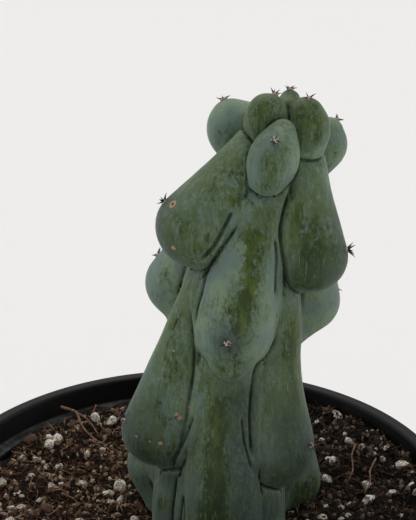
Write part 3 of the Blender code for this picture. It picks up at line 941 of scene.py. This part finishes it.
def start_tree(name, inputs):
    """New tree with a geometry in and out, and named inputs: label, kind of socket and value."""
    tree = bpy.data.node_groups.new(name, "GeometryNodeTree")
    tree.interface.new_socket("Geometry", in_out="INPUT", socket_type="NodeSocketGeometry")
    for label, kind, value in inputs:
        socket = tree.interface.new_socket(label, in_out="INPUT", socket_type="NodeSocket" + kind)
        if value is not None:
            socket.default_value = value
    tree.interface.new_socket("Geometry", in_out="OUTPUT", socket_type="NodeSocketGeometry")
    return tree, tree.nodes.new("NodeGroupInput")


def end_tree(tree, geometry, material):
    """Close a tree: everything is made real and gets its material."""
    real = add_node(tree, "GeometryNodeRealizeInstances", {"Geometry": geometry})
    dressed = add_node(tree, "GeometryNodeSetMaterial", {
        "Geometry": real.outputs[0], "Material": material})
    out = tree.nodes.new("NodeGroupOutput")
    tree.links.new(dressed.outputs[0], out.inputs[0])


def spine_tree():
    tree, entry = start_tree("spine_growth", (
        ("Length", "Float", SPINE_LENGTH), ("Radius", "Float", SPINE_RADIUS),
        ("Material", "Material", None)))
    cone = add_node(tree, "GeometryNodeMeshCone", {
        "Vertices": 7, "Side Segments": 5, "Radius Top": SPINE_TIP,
        "Radius Bottom": entry.outputs["Radius"], "Depth": entry.outputs["Length"]})
    position = add_node(tree, "GeometryNodeInputPosition")
    split = add_node(tree, "ShaderNodeSeparateXYZ", {0: position.outputs[0]})
    share = Value(tree, split.outputs["Z"]) / entry.outputs["Length"]
    shift = add_node(tree, "ShaderNodeCombineXYZ", {"X": share.maths("POWER", 2.0) * SPINE_BEND})
    curved = add_node(tree, "GeometryNodeSetPosition", {
        "Geometry": cone.outputs["Mesh"], "Offset": shift.outputs[0]})
    aim = add_node(tree, "GeometryNodeInputNamedAttribute", {"Name": "aim"}, data_type="FLOAT_VECTOR")
    size = add_node(tree, "GeometryNodeInputNamedAttribute", {"Name": "size"})
    turn = add_node(tree, "FunctionNodeAlignRotationToVector", {
        "Vector": aim.outputs["Attribute"]}, axis="Z")
    placed = add_node(tree, "GeometryNodeInstanceOnPoints", {
        "Points": entry.outputs["Geometry"], "Instance": curved.outputs[0],
        "Rotation": turn.outputs[0], "Scale": size.outputs["Attribute"]})
    end_tree(tree, placed.outputs[0], entry.outputs["Material"])
    return tree


def scatter_tree():
    """Pieces of a collection strewn over a surface where its attribute named open is 1."""
    tree, entry = start_tree("scatter", (
        ("Pieces", "Collection", None), ("Density", "Float", 1000.0), ("Apart", "Float", 0.001),
        ("Smallest", "Float", 0.5), ("Largest", "Float", 1.0), ("Evenness", "Float", 2.0),
        ("Tilt", "Float", 3.1), ("Sink", "Float", 0.0), ("Seed", "Int", 1),
        ("Keep surface", "Bool", False), ("Material", "Material", None)))
    seed = entry.outputs["Seed"]
    opened = add_node(tree, "GeometryNodeInputNamedAttribute", {"Name": "open"})
    strewn = add_node(tree, "GeometryNodeDistributePointsOnFaces", {
        "Mesh": entry.outputs["Geometry"], "Distance Min": entry.outputs["Apart"],
        "Density Max": entry.outputs["Density"], "Density Factor": opened.outputs["Attribute"],
        "Seed": seed}, distribute_method="POISSON")
    sunk = add_node(tree, "ShaderNodeVectorMath", {0: strewn.outputs["Normal"]}, operation="SCALE")
    tree.links.new(entry.outputs["Sink"], sunk.inputs["Scale"])
    moved = add_node(tree, "GeometryNodeSetPosition", {
        "Geometry": strewn.outputs["Points"], "Offset": sunk.outputs[0]})
    pieces = add_node(tree, "GeometryNodeCollectionInfo", {
        "Collection": entry.outputs["Pieces"], "Separate Children": True, "Reset Children": True})
    tilt = Value(tree, entry.outputs["Tilt"])
    back = tilt * -1.0
    low = add_node(tree, "ShaderNodeCombineXYZ", {"X": back, "Y": back, "Z": 0.0})
    high = add_node(tree, "ShaderNodeCombineXYZ", {"X": tilt, "Y": tilt, "Z": math.tau})
    spin = add_node(tree, "FunctionNodeRandomValue", {
        0: low.outputs[0], 1: high.outputs[0], "Seed": seed}, data_type="FLOAT_VECTOR")
    turned = add_node(tree, "FunctionNodeRotateRotation", {
        "Rotation": strewn.outputs["Rotation"], "Rotate By": spin.outputs[0]}, rotation_space="LOCAL")
    share = add_node(tree, "FunctionNodeRandomValue", {"Seed": seed}, data_type="FLOAT")
    share = Value(tree, share.outputs[1]).maths("POWER", entry.outputs["Evenness"])
    size = add_node(tree, "ShaderNodeMapRange", {
        "Value": share, "To Min": entry.outputs["Smallest"], "To Max": entry.outputs["Largest"]})
    placed = add_node(tree, "GeometryNodeInstanceOnPoints", {
        "Points": moved.outputs[0], "Instance": pieces.outputs[0], "Pick Instance": True,
        "Rotation": turned.outputs[0], "Scale": size.outputs[0]})
    tone = add_node(tree, "FunctionNodeRandomValue", {"Seed": seed}, data_type="FLOAT")
    toned = add_node(tree, "GeometryNodeStoreNamedAttribute", {
        "Geometry": placed.outputs[0], "Name": "tone", "Value": tone.outputs[1]}, domain="INSTANCE")
    kept = add_node(tree, "GeometryNodeSwitch", {
        "Switch": entry.outputs["Keep surface"], "True": entry.outputs["Geometry"]})
    joined = tree.nodes.new("GeometryNodeJoinGeometry")
    tree.links.new(toned.outputs[0], joined.inputs[0])
    tree.links.new(kept.outputs[0], joined.inputs[0])
    end_tree(tree, joined.outputs[0], entry.outputs["Material"])
    return tree


def grow(name, base, tree, values):
    """Run a tree on a mesh and keep what it makes as a plain mesh."""
    item = add_object(name, base)
    modifier = item.modifiers.new(name, "NODES")
    modifier.node_group = tree
    for socket in tree.interface.items_tree:
        if socket.in_out == "INPUT" and socket.name in values:
            modifier[socket.identifier] = values[socket.name]
    bpy.context.view_layer.update()
    depsgraph = bpy.context.evaluated_depsgraph_get()
    mesh = bpy.data.meshes.new_from_object(item.evaluated_get(depsgraph))
    item.modifiers.clear()
    item.data = mesh
    mesh.name = name
    return item


def piece_collection(name, meshes):
    collection = bpy.data.collections.new(name)
    for index, mesh in enumerate(meshes):
        collection.objects.link(bpy.data.objects.new(f"{name}_{index}", mesh))
    return collection


def drop_collection(collection):
    for item in list(collection.objects):
        bpy.data.objects.remove(item, do_unlink=True)
    bpy.data.collections.remove(collection)


# Shapes that are strewn, each about one millimetre across


def stone_mesh(draw, detail, roughness, flatness):
    bm = bmesh.new()
    bmesh.ops.create_icosphere(bm, subdivisions=detail, radius=STONE_RADIUS)
    stretch = Vector((1.0, draw.uniform(0.65, 1.0), draw.uniform(0.55, 0.95) * flatness))
    cuts = [Vector([draw.gauss(0, 1) for _ in range(3)]).normalized() for _ in range(6)]
    for point in bm.verts:
        outward = point.co.normalized()
        reach = STONE_RADIUS * (1 + draw.uniform(-roughness, roughness))
        for cut in cuts:
            facing = outward.dot(cut)
            if facing > 0.1:
                reach = min(reach, STONE_CUT / facing)
        point.co = outward * reach * stretch
    return mesh_from("stone", bm)


def thread_mesh(draw, length, radius, wander):
    """A thin bent thread with three sides, lying along X."""
    bm = bmesh.new()
    steps = 4
    turn, lift = draw.uniform(-0.3, 0.3), 0.0
    place = Vector((-length / 2, 0, 0))
    rings = []
    for index in range(steps + 1):
        size = radius * (1 - 0.75 * abs(2 * index / steps - 1) ** 3)
        across = Vector((-math.sin(turn), math.cos(turn), 0))
        ring = [across * math.cos(angle) + Vector((0, 0, math.sin(angle))) for angle in corners(3)]
        rings.append([bm.verts.new(place + size * outward) for outward in ring])
        turn += draw.uniform(-wander, wander)
        lift += draw.uniform(-0.2, 0.25)
        forward = Vector((math.cos(turn), math.sin(turn), 0.35 * lift))
        place = place + forward.normalized() * length / steps
    close_tube(bm, rings)
    return mesh_from("thread", bm)


def fibre_mesh():
    """The long fibres and twigs that lie on the soil, as tapering tubes."""
    bm = bmesh.new()
    for thickness, places in FIBRES:
        line = [Vector(place) * MM + Vector((0, 0, POT_HEIGHT)) for place in soft_line(places, 5)]
        rings = []
        for index, place in enumerate(line):
            forward = (line[min(index + 1, len(line) - 1)] - line[max(index - 1, 0)]).normalized()
            turn = turn_to(forward).to_3x3()
            taper = (1 - 0.55 * index / (len(line) - 1)) * (0.9 + 0.2 * (index % 3) / 2)
            reach = thickness * MM * taper
            ring = [reach * Vector((math.cos(angle), math.sin(angle), 0)) for angle in corners(7)]
            rings.append([bm.verts.new(place + turn @ outward) for outward in ring])
        close_tube(bm, rings)
    mesh = mesh_from("root_fibres", bm)
    mesh.shade_smooth()
    return mesh


# Soil


def wall_radius(height):
    """Radius of the inner face of the pot's wall at a height above the base."""
    share = (height - FLOOR) / (POT_HEIGHT - BAND_DEPTH - FLOOR)
    foot = FOOT_RADIUS - WALL
    return foot + (LEDGE_RADIUS - foot) * share


def soil_level(points):
    """Height of the soil above the base at flat places: dished, banked up at one side and crumbly."""
    radius = np.hypot(points[:, 0], points[:, 1])
    level = POT_HEIGHT - SOIL_DEPTH + SOIL_EDGE_RISE * (radius / LEDGE_RADIUS) ** 2
    away = np.hypot(points[:, 0] - BANK_CENTRE[0], points[:, 1] - BANK_CENTRE[1])
    level += BANK_RISE * np.exp(-0.5 * (away / BANK_WIDTH) ** 2)
    angle = np.degrees(np.arctan2(points[:, 1], points[:, 0]))
    for side, width, rise in EDGE_BANKS:
        turn = (angle - side + 180) % 360 - 180
        level += rise * np.exp(-(turn / width) ** 2) * (radius / LEDGE_RADIUS) ** 5
    for seed, (rise, size) in enumerate(SOIL_LUMPS, 21):
        level += rise * soft_noise(points, size, seed)
    return level


def ring_points(angles, radius, height):
    heights = np.full(len(angles), height)
    return np.column_stack((radius * np.cos(angles), radius * np.sin(angles), heights))


def make_soil_mesh():
    """Closed body of soil: a crumbly top of rings, a side that follows the wall, and a flat base."""
    angles = np.arange(SOIL_SPOKES) / SOIL_SPOKES * math.tau
    rows = []
    for radius in np.linspace(0.0, wall_radius(POT_HEIGHT - SOIL_DEPTH) - SEAT_GAP, SOIL_RINGS + 1)[1:]:
        flat = ring_points(angles, radius, MM)
        rows.append(np.column_stack((flat[:, :2], soil_level(flat))))
    rim = rows[-1]
    scale = (wall_radius(rim[:, 2]) - SEAT_GAP) / np.hypot(rim[:, 0], rim[:, 1])
    rim[:, :2] *= scale[:, None]
    foot = FLOOR + SEAT_GAP
    for height, inset in ((foot + FOOT_ROUND, 0.0), (foot, FOOT_ROUND)):
        rows.append(ring_points(angles, wall_radius(height) - SEAT_GAP - inset, height))
    middle = soil_level(np.array([(0.0, 0.0, MM)]))[0]
    points = np.vstack([[(0.0, 0.0, middle)], *rows, [(0.0, 0.0, foot)]])
    faces = [(0, 1 + index, 1 + (index + 1) % SOIL_SPOKES) for index in range(SOIL_SPOKES)]
    for row in range(len(rows) - 1):
        here, there = 1 + row * SOIL_SPOKES, 1 + (row + 1) * SOIL_SPOKES
        for index in range(SOIL_SPOKES):
            after = (index + 1) % SOIL_SPOKES
            faces.append((here + index, there + index, there + after, here + after))
    last, end = 1 + (len(rows) - 1) * SOIL_SPOKES, len(points) - 1
    faces += [(end, last + (index + 1) % SOIL_SPOKES, last + index) for index in range(SOIL_SPOKES)]
    mesh = bpy.data.meshes.new("soil_bed")
    mesh.from_pydata(points.tolist(), [], faces)
    mesh.update()
    give_attribute(mesh, "open", soil_open(points))
    mesh.shade_smooth()
    return mesh


def soil_open(points):
    """1 on the soil's top where litter may lie: clear of the plant and of the pot's wall."""
    low = points - np.array((0.0, 0.0, POT_HEIGHT))
    clear = np.full(len(points), 1.0)
    shallow = points[:, 2] > POT_HEIGHT - LITTER_DEPTH
    clear[shallow] = skin_distance(low[shallow])[0]
    radius = np.hypot(points[:, 0], points[:, 1])
    inside = radius < LEDGE_RADIUS - LITTER_EDGE
    return (shallow & (clear > LITTER_GAP) & inside).astype(float)


def litter_faces(mesh):
    """The top of the soil alone, for strewing."""
    bm = bmesh.new()
    bm.from_mesh(mesh)
    layer = bm.verts.layers.float["open"]
    shut = [face for face in bm.faces if min(point[layer] for point in face.verts) < 0.5]
    bmesh.ops.delete(bm, geom=shut, context="FACES")
    return mesh_from("soil_top", bm)


def strew(name, top, tree, meshes, material):
    pieces = piece_collection(name, meshes)
    item = grow(name, top.copy(), tree, {"Pieces": pieces, "Material": material, **LITTER[name]})
    drop_collection(pieces)
    item.data.shade_flat()
    return item


def clod_meshes(draw):
    """Clods of soil banked on the pot's ledge at one side."""
    for _ in range(CLOD_COUNT):
        size = draw.uniform(*CLOD_SIZES)
        angle = math.radians(draw.gauss(CLOD_SIDE, CLOD_SPREAD))
        reach = BAND_RADIUS - 0.0009 - size - draw.uniform(0.0, 0.0016)
        height = POT_HEIGHT - BAND_DEPTH + size * draw.uniform(0.7, 1.9)
        bm = bmesh.new()
        bmesh.ops.create_icosphere(bm, subdivisions=3, radius=1.0)
        stretch = Vector([draw.uniform(least, most) for least, most in CLOD_STRETCH]) * size
        lumps = soft_noise(np.array([point.co[:] for point in bm.verts]) + reach * 900, 0.55, 7)
        for point, bulge in zip(bm.verts, (1 + 0.22 * lumps).tolist()):
            point.co = point.co * min(bulge, 1.1) * stretch
        place = Matrix.Translation((reach * math.cos(angle), reach * math.sin(angle), height))
        turned = place @ Matrix.Rotation(draw.uniform(0, math.tau), 4, "Z")
        bmesh.ops.transform(bm, matrix=turned, verts=bm.verts)
        yield mesh_from("clod", bm)


def make_litter(soil_mesh, tree):
    """Clods, crumbs, bark, coir threads, perlite and long fibres on the soil."""
    draw = random.Random(31)
    clods = merged("soil_clods", clod_meshes(draw))
    give_attribute(clods, "open", np.ones(len(clods.vertices)))
    top = merged("strewn_top", [litter_faces(soil_mesh), clods.copy()])
    clods.materials.append(soil_material())
    clods.shade_smooth()
    fibres = fibre_mesh()
    fibres.materials.append(fibre_material())
    crumb = litter_material("crumb", CRUMB_TONES)
    stones = [stone_mesh(draw, 1, 0.42, draw.uniform(0.4, 0.9)) for _ in range(9)]
    chips = [stone_mesh(draw, 2, 0.26, 0.55) for _ in range(6)]
    threads = [thread_mesh(draw, draw.uniform(*COIR_LENGTHS), COIR_RADIUS, 0.9) for _ in range(9)]
    grains = [stone_mesh(draw, 2, 0.17, 0.9) for _ in range(9)]
    return [
        add_object("soil_clods", clods),
        strew("soil_crumbs", top, tree, stones, crumb),
        strew("bark_chips", top, tree, chips, litter_material("bark", BARK_TONES)),
        strew("coir_threads", top, tree, threads, litter_material("coir", COIR_TONES)),
        strew("perlite_grains", top, tree, grains, perlite_material()),
        add_object("root_fibres", fibres)]


# Pot


def softened(section):
    """Half section with each corner rounded over its own radius."""
    line = []
    for index, (radius, height, soft) in enumerate(section):
        here = Vector((radius, height))
        if soft == 0.0:
            line.append(here)
            continue
        before = Vector(section[index - 1][:2]) - here
        after = Vector(section[index + 1][:2]) - here
        start = here + before.normalized() * min(soft, before.length * 0.48)
        end = here + after.normalized() * min(soft, after.length * 0.48)
        for share in (0.0, 0.25, 0.5, 0.75, 1.0):
            line.append(start.lerp(here, share).lerp(here.lerp(end, share), share))
    return line


def pot_section():
    top, ledge = POT_HEIGHT, POT_HEIGHT - BAND_DEPTH
    inner_lip, outer_band = LIP_RADIUS - LIP_WIDTH, BAND_RADIUS + WALL
    under_lip = top - LIP_DEPTH - 0.0006
    return softened((
        (0.0, FLOOR, 0.0), (wall_radius(FLOOR), FLOOR, 0.0018), (LEDGE_RADIUS, ledge, 0.0007),
        (BAND_RADIUS, ledge, 0.0009), (inner_lip, top, 0.0013), (LIP_RADIUS, top, 0.0012),
        (LIP_RADIUS, under_lip, 0.0006), (outer_band + 0.0004, under_lip, 0.0008),
        (outer_band, ledge - WALL, 0.0010), (LEDGE_RADIUS + WALL, ledge - WALL - 0.0006, 0.0009),
        (FOOT_RADIUS + 0.0003, 0.0018, 0.0008), (FOOT_RADIUS - 0.0008, 0.0, 0.0010), (0.0, 0.0, 0.0)))


def make_pot():
    bm = bmesh.new()
    points = [bm.verts.new((spot.x, 0.0, spot.y)) for spot in pot_section()]
    for first, second in zip(points, points[1:]):
        bm.edges.new((first, second))
    pot = add_object("nursery_pot", mesh_from("nursery_pot", bm))
    turn = pot.modifiers.new("turn", "SCREW")
    turn.steps = turn.render_steps = POT_STEPS
    turn.use_merge_vertices = True
    turn.merge_threshold = 0.00001
    cutters = bpy.data.collections.new("drain_cutters")
    for index in range(DRAIN_COUNT):
        angle = math.tau * (index + 0.5) / DRAIN_COUNT
        bm = bmesh.new()
        bmesh.ops.create_cone(bm, cap_ends=True, segments=32, radius1=DRAIN_RADIUS,
                              radius2=DRAIN_RADIUS, depth=4 * FLOOR)
        place = (DRAIN_CIRCLE * math.cos(angle), DRAIN_CIRCLE * math.sin(angle), FLOOR / 2)
        bmesh.ops.translate(bm, vec=place, verts=bm.verts)
        cutters.objects.link(bpy.data.objects.new(f"cutter_{index}", mesh_from("cutter", bm)))
    holes = pot.modifiers.new("drain_holes", "BOOLEAN")
    holes.operation = "DIFFERENCE"
    holes.operand_type = "COLLECTION"
    holes.collection = cutters
    bpy.context.view_layer.update()
    mesh = bpy.data.meshes.new_from_object(pot.evaluated_get(bpy.context.evaluated_depsgraph_get()))
    pot.modifiers.clear()
    pot.data = mesh
    drop_collection(cutters)
    pot.data.materials.clear()
    pot.data.materials.append(pot_material())
    pot.data.shade_smooth()
    pot.data.set_sharp_from_angle(angle=math.radians(SHARP_FROM))
    return pot


# Materials


class Finish:
    """A material with one shader, and the patterns that feed it."""

    def __init__(self, name):
        self.material = bpy.data.materials.new(name)
        self.material.use_nodes = True
        self.tree = self.material.node_tree
        self.shader = self.tree.nodes["Principled BSDF"]
        self.place = self.add("ShaderNodeTexCoord").outputs["Object"]
        self.normal = None

    def add(self, kind, inputs=None, **settings):
        return add_node(self.tree, kind, inputs, **settings)

    def stretched(self, *scale):
        return self.add("ShaderNodeMapping", {"Vector": self.place, "Scale": scale}).outputs[0]

    def vector(self, operation, inputs):
        return self.add("ShaderNodeVectorMath", inputs, operation=operation).outputs

    def axis(self, letter, vector=None):
        split = self.add("ShaderNodeSeparateXYZ", {0: self.place if vector is None else vector})
        return Value(self.tree, split.outputs[letter])

    def own(self, name):
        """The piece's own attribute."""
        return Value(self.tree, self.add("ShaderNodeAttribute", attribute_name=name).outputs["Fac"])

    def cloud(self, scale, detail=4.0, rough=0.55, distortion=0.0, place=None):
        """Noise value, where scale is the number of lumps in a metre."""
        node = self.add("ShaderNodeTexNoise", {
            "Vector": self.place if place is None else place, "Scale": scale, "Detail": detail,
            "Roughness": rough, "Distortion": distortion})
        return Value(self.tree, node.outputs["Fac"])

    def blend(self, share, first, second):
        """Mix of two colours."""
        return self.add("ShaderNodeMix", {0: share, 6: first, 7: second}, data_type="RGBA").outputs[2]

    def tones(self, value, stops):
        """Colour ramp of (position, colour) stops."""
        node = self.add("ShaderNodeValToRGB", {0: value})
        while len(node.color_ramp.elements) < len(stops):
            node.color_ramp.elements.new(0.5)
        for element, (position, colour) in zip(node.color_ramp.elements, stops):
            element.position = position
            element.color = (*colour, 1.0)
        return node.outputs[0]

    def bump(self, height, strength, distance):
        """Raise the surface by a pattern, over what already raises it."""
        inputs = {"Height": height, "Strength": strength, "Distance": distance}
        if self.normal is not None:
            inputs["Normal"] = self.normal
        self.normal = self.add("ShaderNodeBump", inputs).outputs[0]
        connect(self.tree, self.shader.inputs["Normal"], self.normal)

    def done(self, colour, roughness, **others):
        """Feed the shader, whose other inputs are named with low lines for spaces."""
        for label, value in {"Base_Color": colour, "Roughness": roughness, **others}.items():
            connect(self.tree, self.shader.inputs[label.replace("_", " ")], value)
        return self.material


def scar_values(look):
    """1 inside the corky scars, and the ring of one and its dark middle."""
    ragged = look.add("ShaderNodeTexNoise", {"Vector": look.place, "Scale": 900.0, "Detail": 3.0})
    centred = look.vector("SUBTRACT", {0: ragged.outputs["Color"], 1: (0.5, 0.5, 0.5)})[0]
    shift = look.vector("SCALE", {0: centred, "Scale": 0.0016})[0]
    moved = look.vector("ADD", {0: look.place, 1: shift})[0]

    def away(place, side, height, radius):
        spot = skin_place(side, height * MM)
        return Value(look.tree, look.vector("DISTANCE", {0: place, 1: spot})["Value"]) / (radius * MM)

    nearest = away(moved, *SCARS[0])
    for scar in SCARS[1:]:
        nearest = nearest.maths("MINIMUM", away(moved, *scar))
    ring = away(look.place, *RING_SCAR)
    return nearest.between(1.15, 0.85), ring.between(1.1, 0.9), ring.between(0.50, 0.35)


def skin_material():
    """Waxy grey-green bloom, thin where it was handled and rubbed off in streaks to the bare skin, with
    painted shade low down and in the creases, and a painted highlight on the crease rims.
    """
    look = Finish("waxy_skin")
    upright = look.stretched(1.0, 1.0, 0.32)
    wide = look.cloud(75.0, 4.0, 0.6)
    streak = look.cloud(420.0, 9.0, 0.74, 0.6, upright)
    fine = look.cloud(1500.0, 6.0, 0.72, 0.5, upright)
    mottle = look.cloud(760.0, 8.0, 0.74)
    worn = streak * 0.60 + wide * 0.40 + (fine - 0.5) * 0.48 + (mottle - 0.5) * 0.42
    thin = (worn + look.own("handled") * 0.20).between(0.47, 0.72)
    bare = (worn + look.own("rubbed") * 0.25).between(0.59, 0.70)
    bloom = look.blend(look.cloud(130.0, 3.0).between(0.38, 0.62), BLOOM_GREEN, BLOOM_BLUE)
    green = look.cloud(330.0, 6.0, 0.7, place=upright).between(0.42, 0.62)
    colour = look.blend(thin * 0.94, bloom, THIN_BLOOM)
    colour = look.blend(bare * 0.92, colour, look.blend(green, BARE_DARK, BARE_YELLOW))

    # Painted shade: the skin darkens towards the soil, where less light reaches, and the deep patches
    # add their own blue-green.
    low = look.axis("Z").between(POT_HEIGHT + 0.050, POT_HEIGHT + 0.004) * 0.42
    low = low.maths("MAXIMUM", look.own("deep") * 0.78)
    colour = look.blend(low * (mottle.between(0.62, 0.46) * 0.58 + 0.42), colour, LOW_SKIN_AND_SHADE)
    colour = look.blend(look.own("shade") * 0.74, colour, AREOLE_SHADE)
    scratch = look.cloud(1500.0, 2.0, 0.5, 0.3, look.stretched(1.0, 1.0, 0.10)).between(0.63, 0.70)
    colour = look.blend(scratch * wide.between(0.46, 0.60) * 0.42, colour, SCRATCH)
    colour = look.blend(look.cloud(1300.0, 2.0).between(0.68, 0.75) * 0.45, colour, SPECK)

    crease = look.own("crease")
    # A paler band in the bloom's colour along the crease edges: partly pale bloom, partly a painted
    # highlight on the fold rims.
    rim = crease.between(0.02, 0.30) * crease.between(0.55, 0.25)
    colour = look.blend(rim * 0.30, colour, BLOOM_GREEN)
    # Painted shade darkens the bottom of each crease.
    dark = crease.between(0.40, 0.88) * (wide.between(0.40, 0.60) * 0.38 + 0.55)
    colour = look.blend(dark, colour, CREASE_SHADE)
    scar, ring, middle = scar_values(look)
    for share, tone in ((scar, CORK), (ring, CORK), (middle, SCAR_MIDDLE)):
        colour = look.blend(share, colour, tone)

    ripple = look.own("ripple")
    wrinkle = (ripple * 5.2 + mottle * 9.0).maths("SINE")
    wrinkle = wrinkle * (ripple.between(1.5, 3.5) * ripple.between(9.5, 5.5))
    look.bump(streak, 0.40, 0.0006)
    look.bump(fine, 0.45, 0.00025)
    look.bump(wrinkle, 0.30, 0.00012)
    look.bump(scar, 0.6, 0.0003)
    return look.done(colour, bare * -0.18 + 0.60, Specular_IOR_Level=0.28, Sheen_Weight=0.16,
                     Sheen_Roughness=0.28)


def spine_material():
    look = Finish("spine")
    return look.done(look.blend(look.cloud(900.0).between(0.4, 0.7), SPINE_DARK, SPINE_BROWN), 0.42)


def wool_material():
    look = Finish("areole_wool")
    colour = look.blend(look.cloud(1600.0).between(0.35, 0.65), WOOL_BROWN, WOOL_PALE)
    return look.done(colour, 0.95, Sheen_Weight=0.25)


def shaded_to_right(look, colour):
    """Painted shade: the soil and litter darker to the right of the plant."""
    right_shade = (look.axis("X") + look.cloud(90.0, 3.0) * 0.03).between(0.015, 0.055)
    return look.blend(right_shade * 0.62, colour, RIGHT_SOIL_SHADE)


def soil_material():
    look = Finish("potting_soil")
    look.bump(look.cloud(800.0, 8.0, 0.75), 1.0, 0.0016)
    colour = look.tones(look.cloud(520.0, 8.0, 0.7), SOIL_TONES)
    return look.done(shaded_to_right(look, colour), 0.95, Specular_IOR_Level=0.2)


def litter_material(name, stops):
    look = Finish(name)
    look.bump(look.cloud(2200.0, 4.0, 0.7), 0.6, 0.0004)
    colour = look.tones(look.own("tone") + (look.cloud(900.0) - 0.5) * 0.5, stops)
    return look.done(shaded_to_right(look, colour), 0.9, Specular_IOR_Level=0.2)


def fibre_material():
    look = Finish("fibre")
    look.bump(look.cloud(1800.0, 5.0, 0.7), 0.6, 0.0003)
    return look.done(look.tones(look.cloud(700.0, 6.0, 0.7), FIBRE_TONES), 0.8)


def perlite_material():
    look = Finish("perlite")
    look.bump(look.cloud(1800.0, 5.0, 0.7), 0.9, 0.0006)
    dirt = look.cloud(520.0, 7.0, 0.7).between(0.46, 0.60) * 0.85
    clean = look.blend(look.own("tone"), PERLITE_DULL, PERLITE_PALE)
    return look.done(look.blend(dirt, clean, PERLITE_DIRT), 0.85)


def pot_material():
    """Satin black plastic, paler on what faces up with dust and a painted reflection of the light from
    above, strongest on the ledge, and faint scuffs.
    """
    look = Finish("nursery_plastic")
    look.bump(look.cloud(2500.0, 3.0), 0.08, 0.0002)
    lying = look.axis("Z", look.add("ShaderNodeNewGeometry").outputs["Normal"]).between(0.35, 0.95)
    dust_and_reflection = lying * look.cloud(160.0, 6.0, 0.65).between(0.35, 0.70)
    # Painted reflection: the ledge below the lip is paler than the lip's top.
    ledge = look.axis("Z").between(POT_HEIGHT - 0.003, POT_HEIGHT - 0.006)
    scuff = look.cloud(420.0, 7.0, 0.7, 1.5, look.stretched(1.0, 1.0, 3.0)).between(0.60, 0.72)
    colour = look.blend(dust_and_reflection * (ledge * 0.75 + 0.05), PLASTIC, DUST_AND_REFLECTION)
    colour = look.blend(scuff * 0.06, colour, SCUFF)
    return look.done(colour, look.cloud(260.0, 5.0) * 0.18 + 0.36, Specular_IOR_Level=0.15)


# Setting


def make_floor():
    bm = bmesh.new()
    bmesh.ops.create_grid(bm, x_segments=1, y_segments=1, size=FLOOR_SIZE)
    floor = add_object("floor", mesh_from("floor", bm))
    floor.data.materials.append(Finish("floor_paint").done(FLOOR_PAINT, 0.95))
    floor.location.z = -FLOOR_DROP


def make_lights():
    """Even studio light: a soft surround, a wide light from above and behind, and one at each side."""
    world = bpy.data.worlds.new("studio")
    bpy.context.scene.world = world
    world.use_nodes = True
    surround = world.node_tree.nodes["Background"]
    connect(world.node_tree, surround.inputs["Color"], SURROUND)
    connect(world.node_tree, surround.inputs["Strength"], SURROUND_STRENGTH)
    for name, (strength, width, aim) in SUNS.items():
        light = bpy.data.lights.new(name, "SUN")
        light.energy = strength
        light.angle = math.radians(width)
        add_object(name, light).rotation_euler = Vector(aim).to_track_quat("-Z", "Y").to_euler()


def make_camera():
    camera = bpy.data.cameras.new("camera")
    camera.sensor_width = SENSOR_WIDTH
    camera.lens = LENS
    camera.clip_start = 0.01
    item = add_object("camera", camera)
    item.location = CAMERA_PLACE
    item.rotation_euler = (math.radians(90 - CAMERA_TILT), 0.0, 0.0)
    bpy.context.scene.camera = item


def make_wool(pads, tree):
    draw = random.Random(17)
    give_attribute(pads, "open", np.ones(len(pads.vertices)))
    threads = [thread_mesh(draw, HAIR_LENGTH, HAIR_RADIUS, 0.5) for _ in range(4)]
    hairs = piece_collection("hair", threads)
    wool = grow("areole_wool", pads, tree, {"Pieces": hairs, "Material": wool_material(), **WOOL})
    drop_collection(hairs)
    return wool


def main():
    make_camera()
    make_floor()
    make_lights()
    bpy.context.scene.view_settings.view_transform = "Standard"
    scatter = scatter_tree()
    places = areole_places()
    skin = make_skin(places)
    wool = make_wool(merged("areole_pads", pad_meshes(places)), scatter)
    spines = grow("spines", spine_roots(places), spine_tree(), {"Material": spine_material()})
    spines.data.shade_smooth()
    soil = add_object("soil_bed", make_soil_mesh())
    soil.data.materials.append(soil_material())
    litter = make_litter(soil.data, scatter)
    pot = make_pot()
    for piece in (skin, wool, spines):
        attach(piece, "root")
        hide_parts("cactus")
    for piece in (soil, *litter):
        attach(piece, "root")
        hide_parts("soil")
    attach(pot, "root")
    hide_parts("pot")


main()
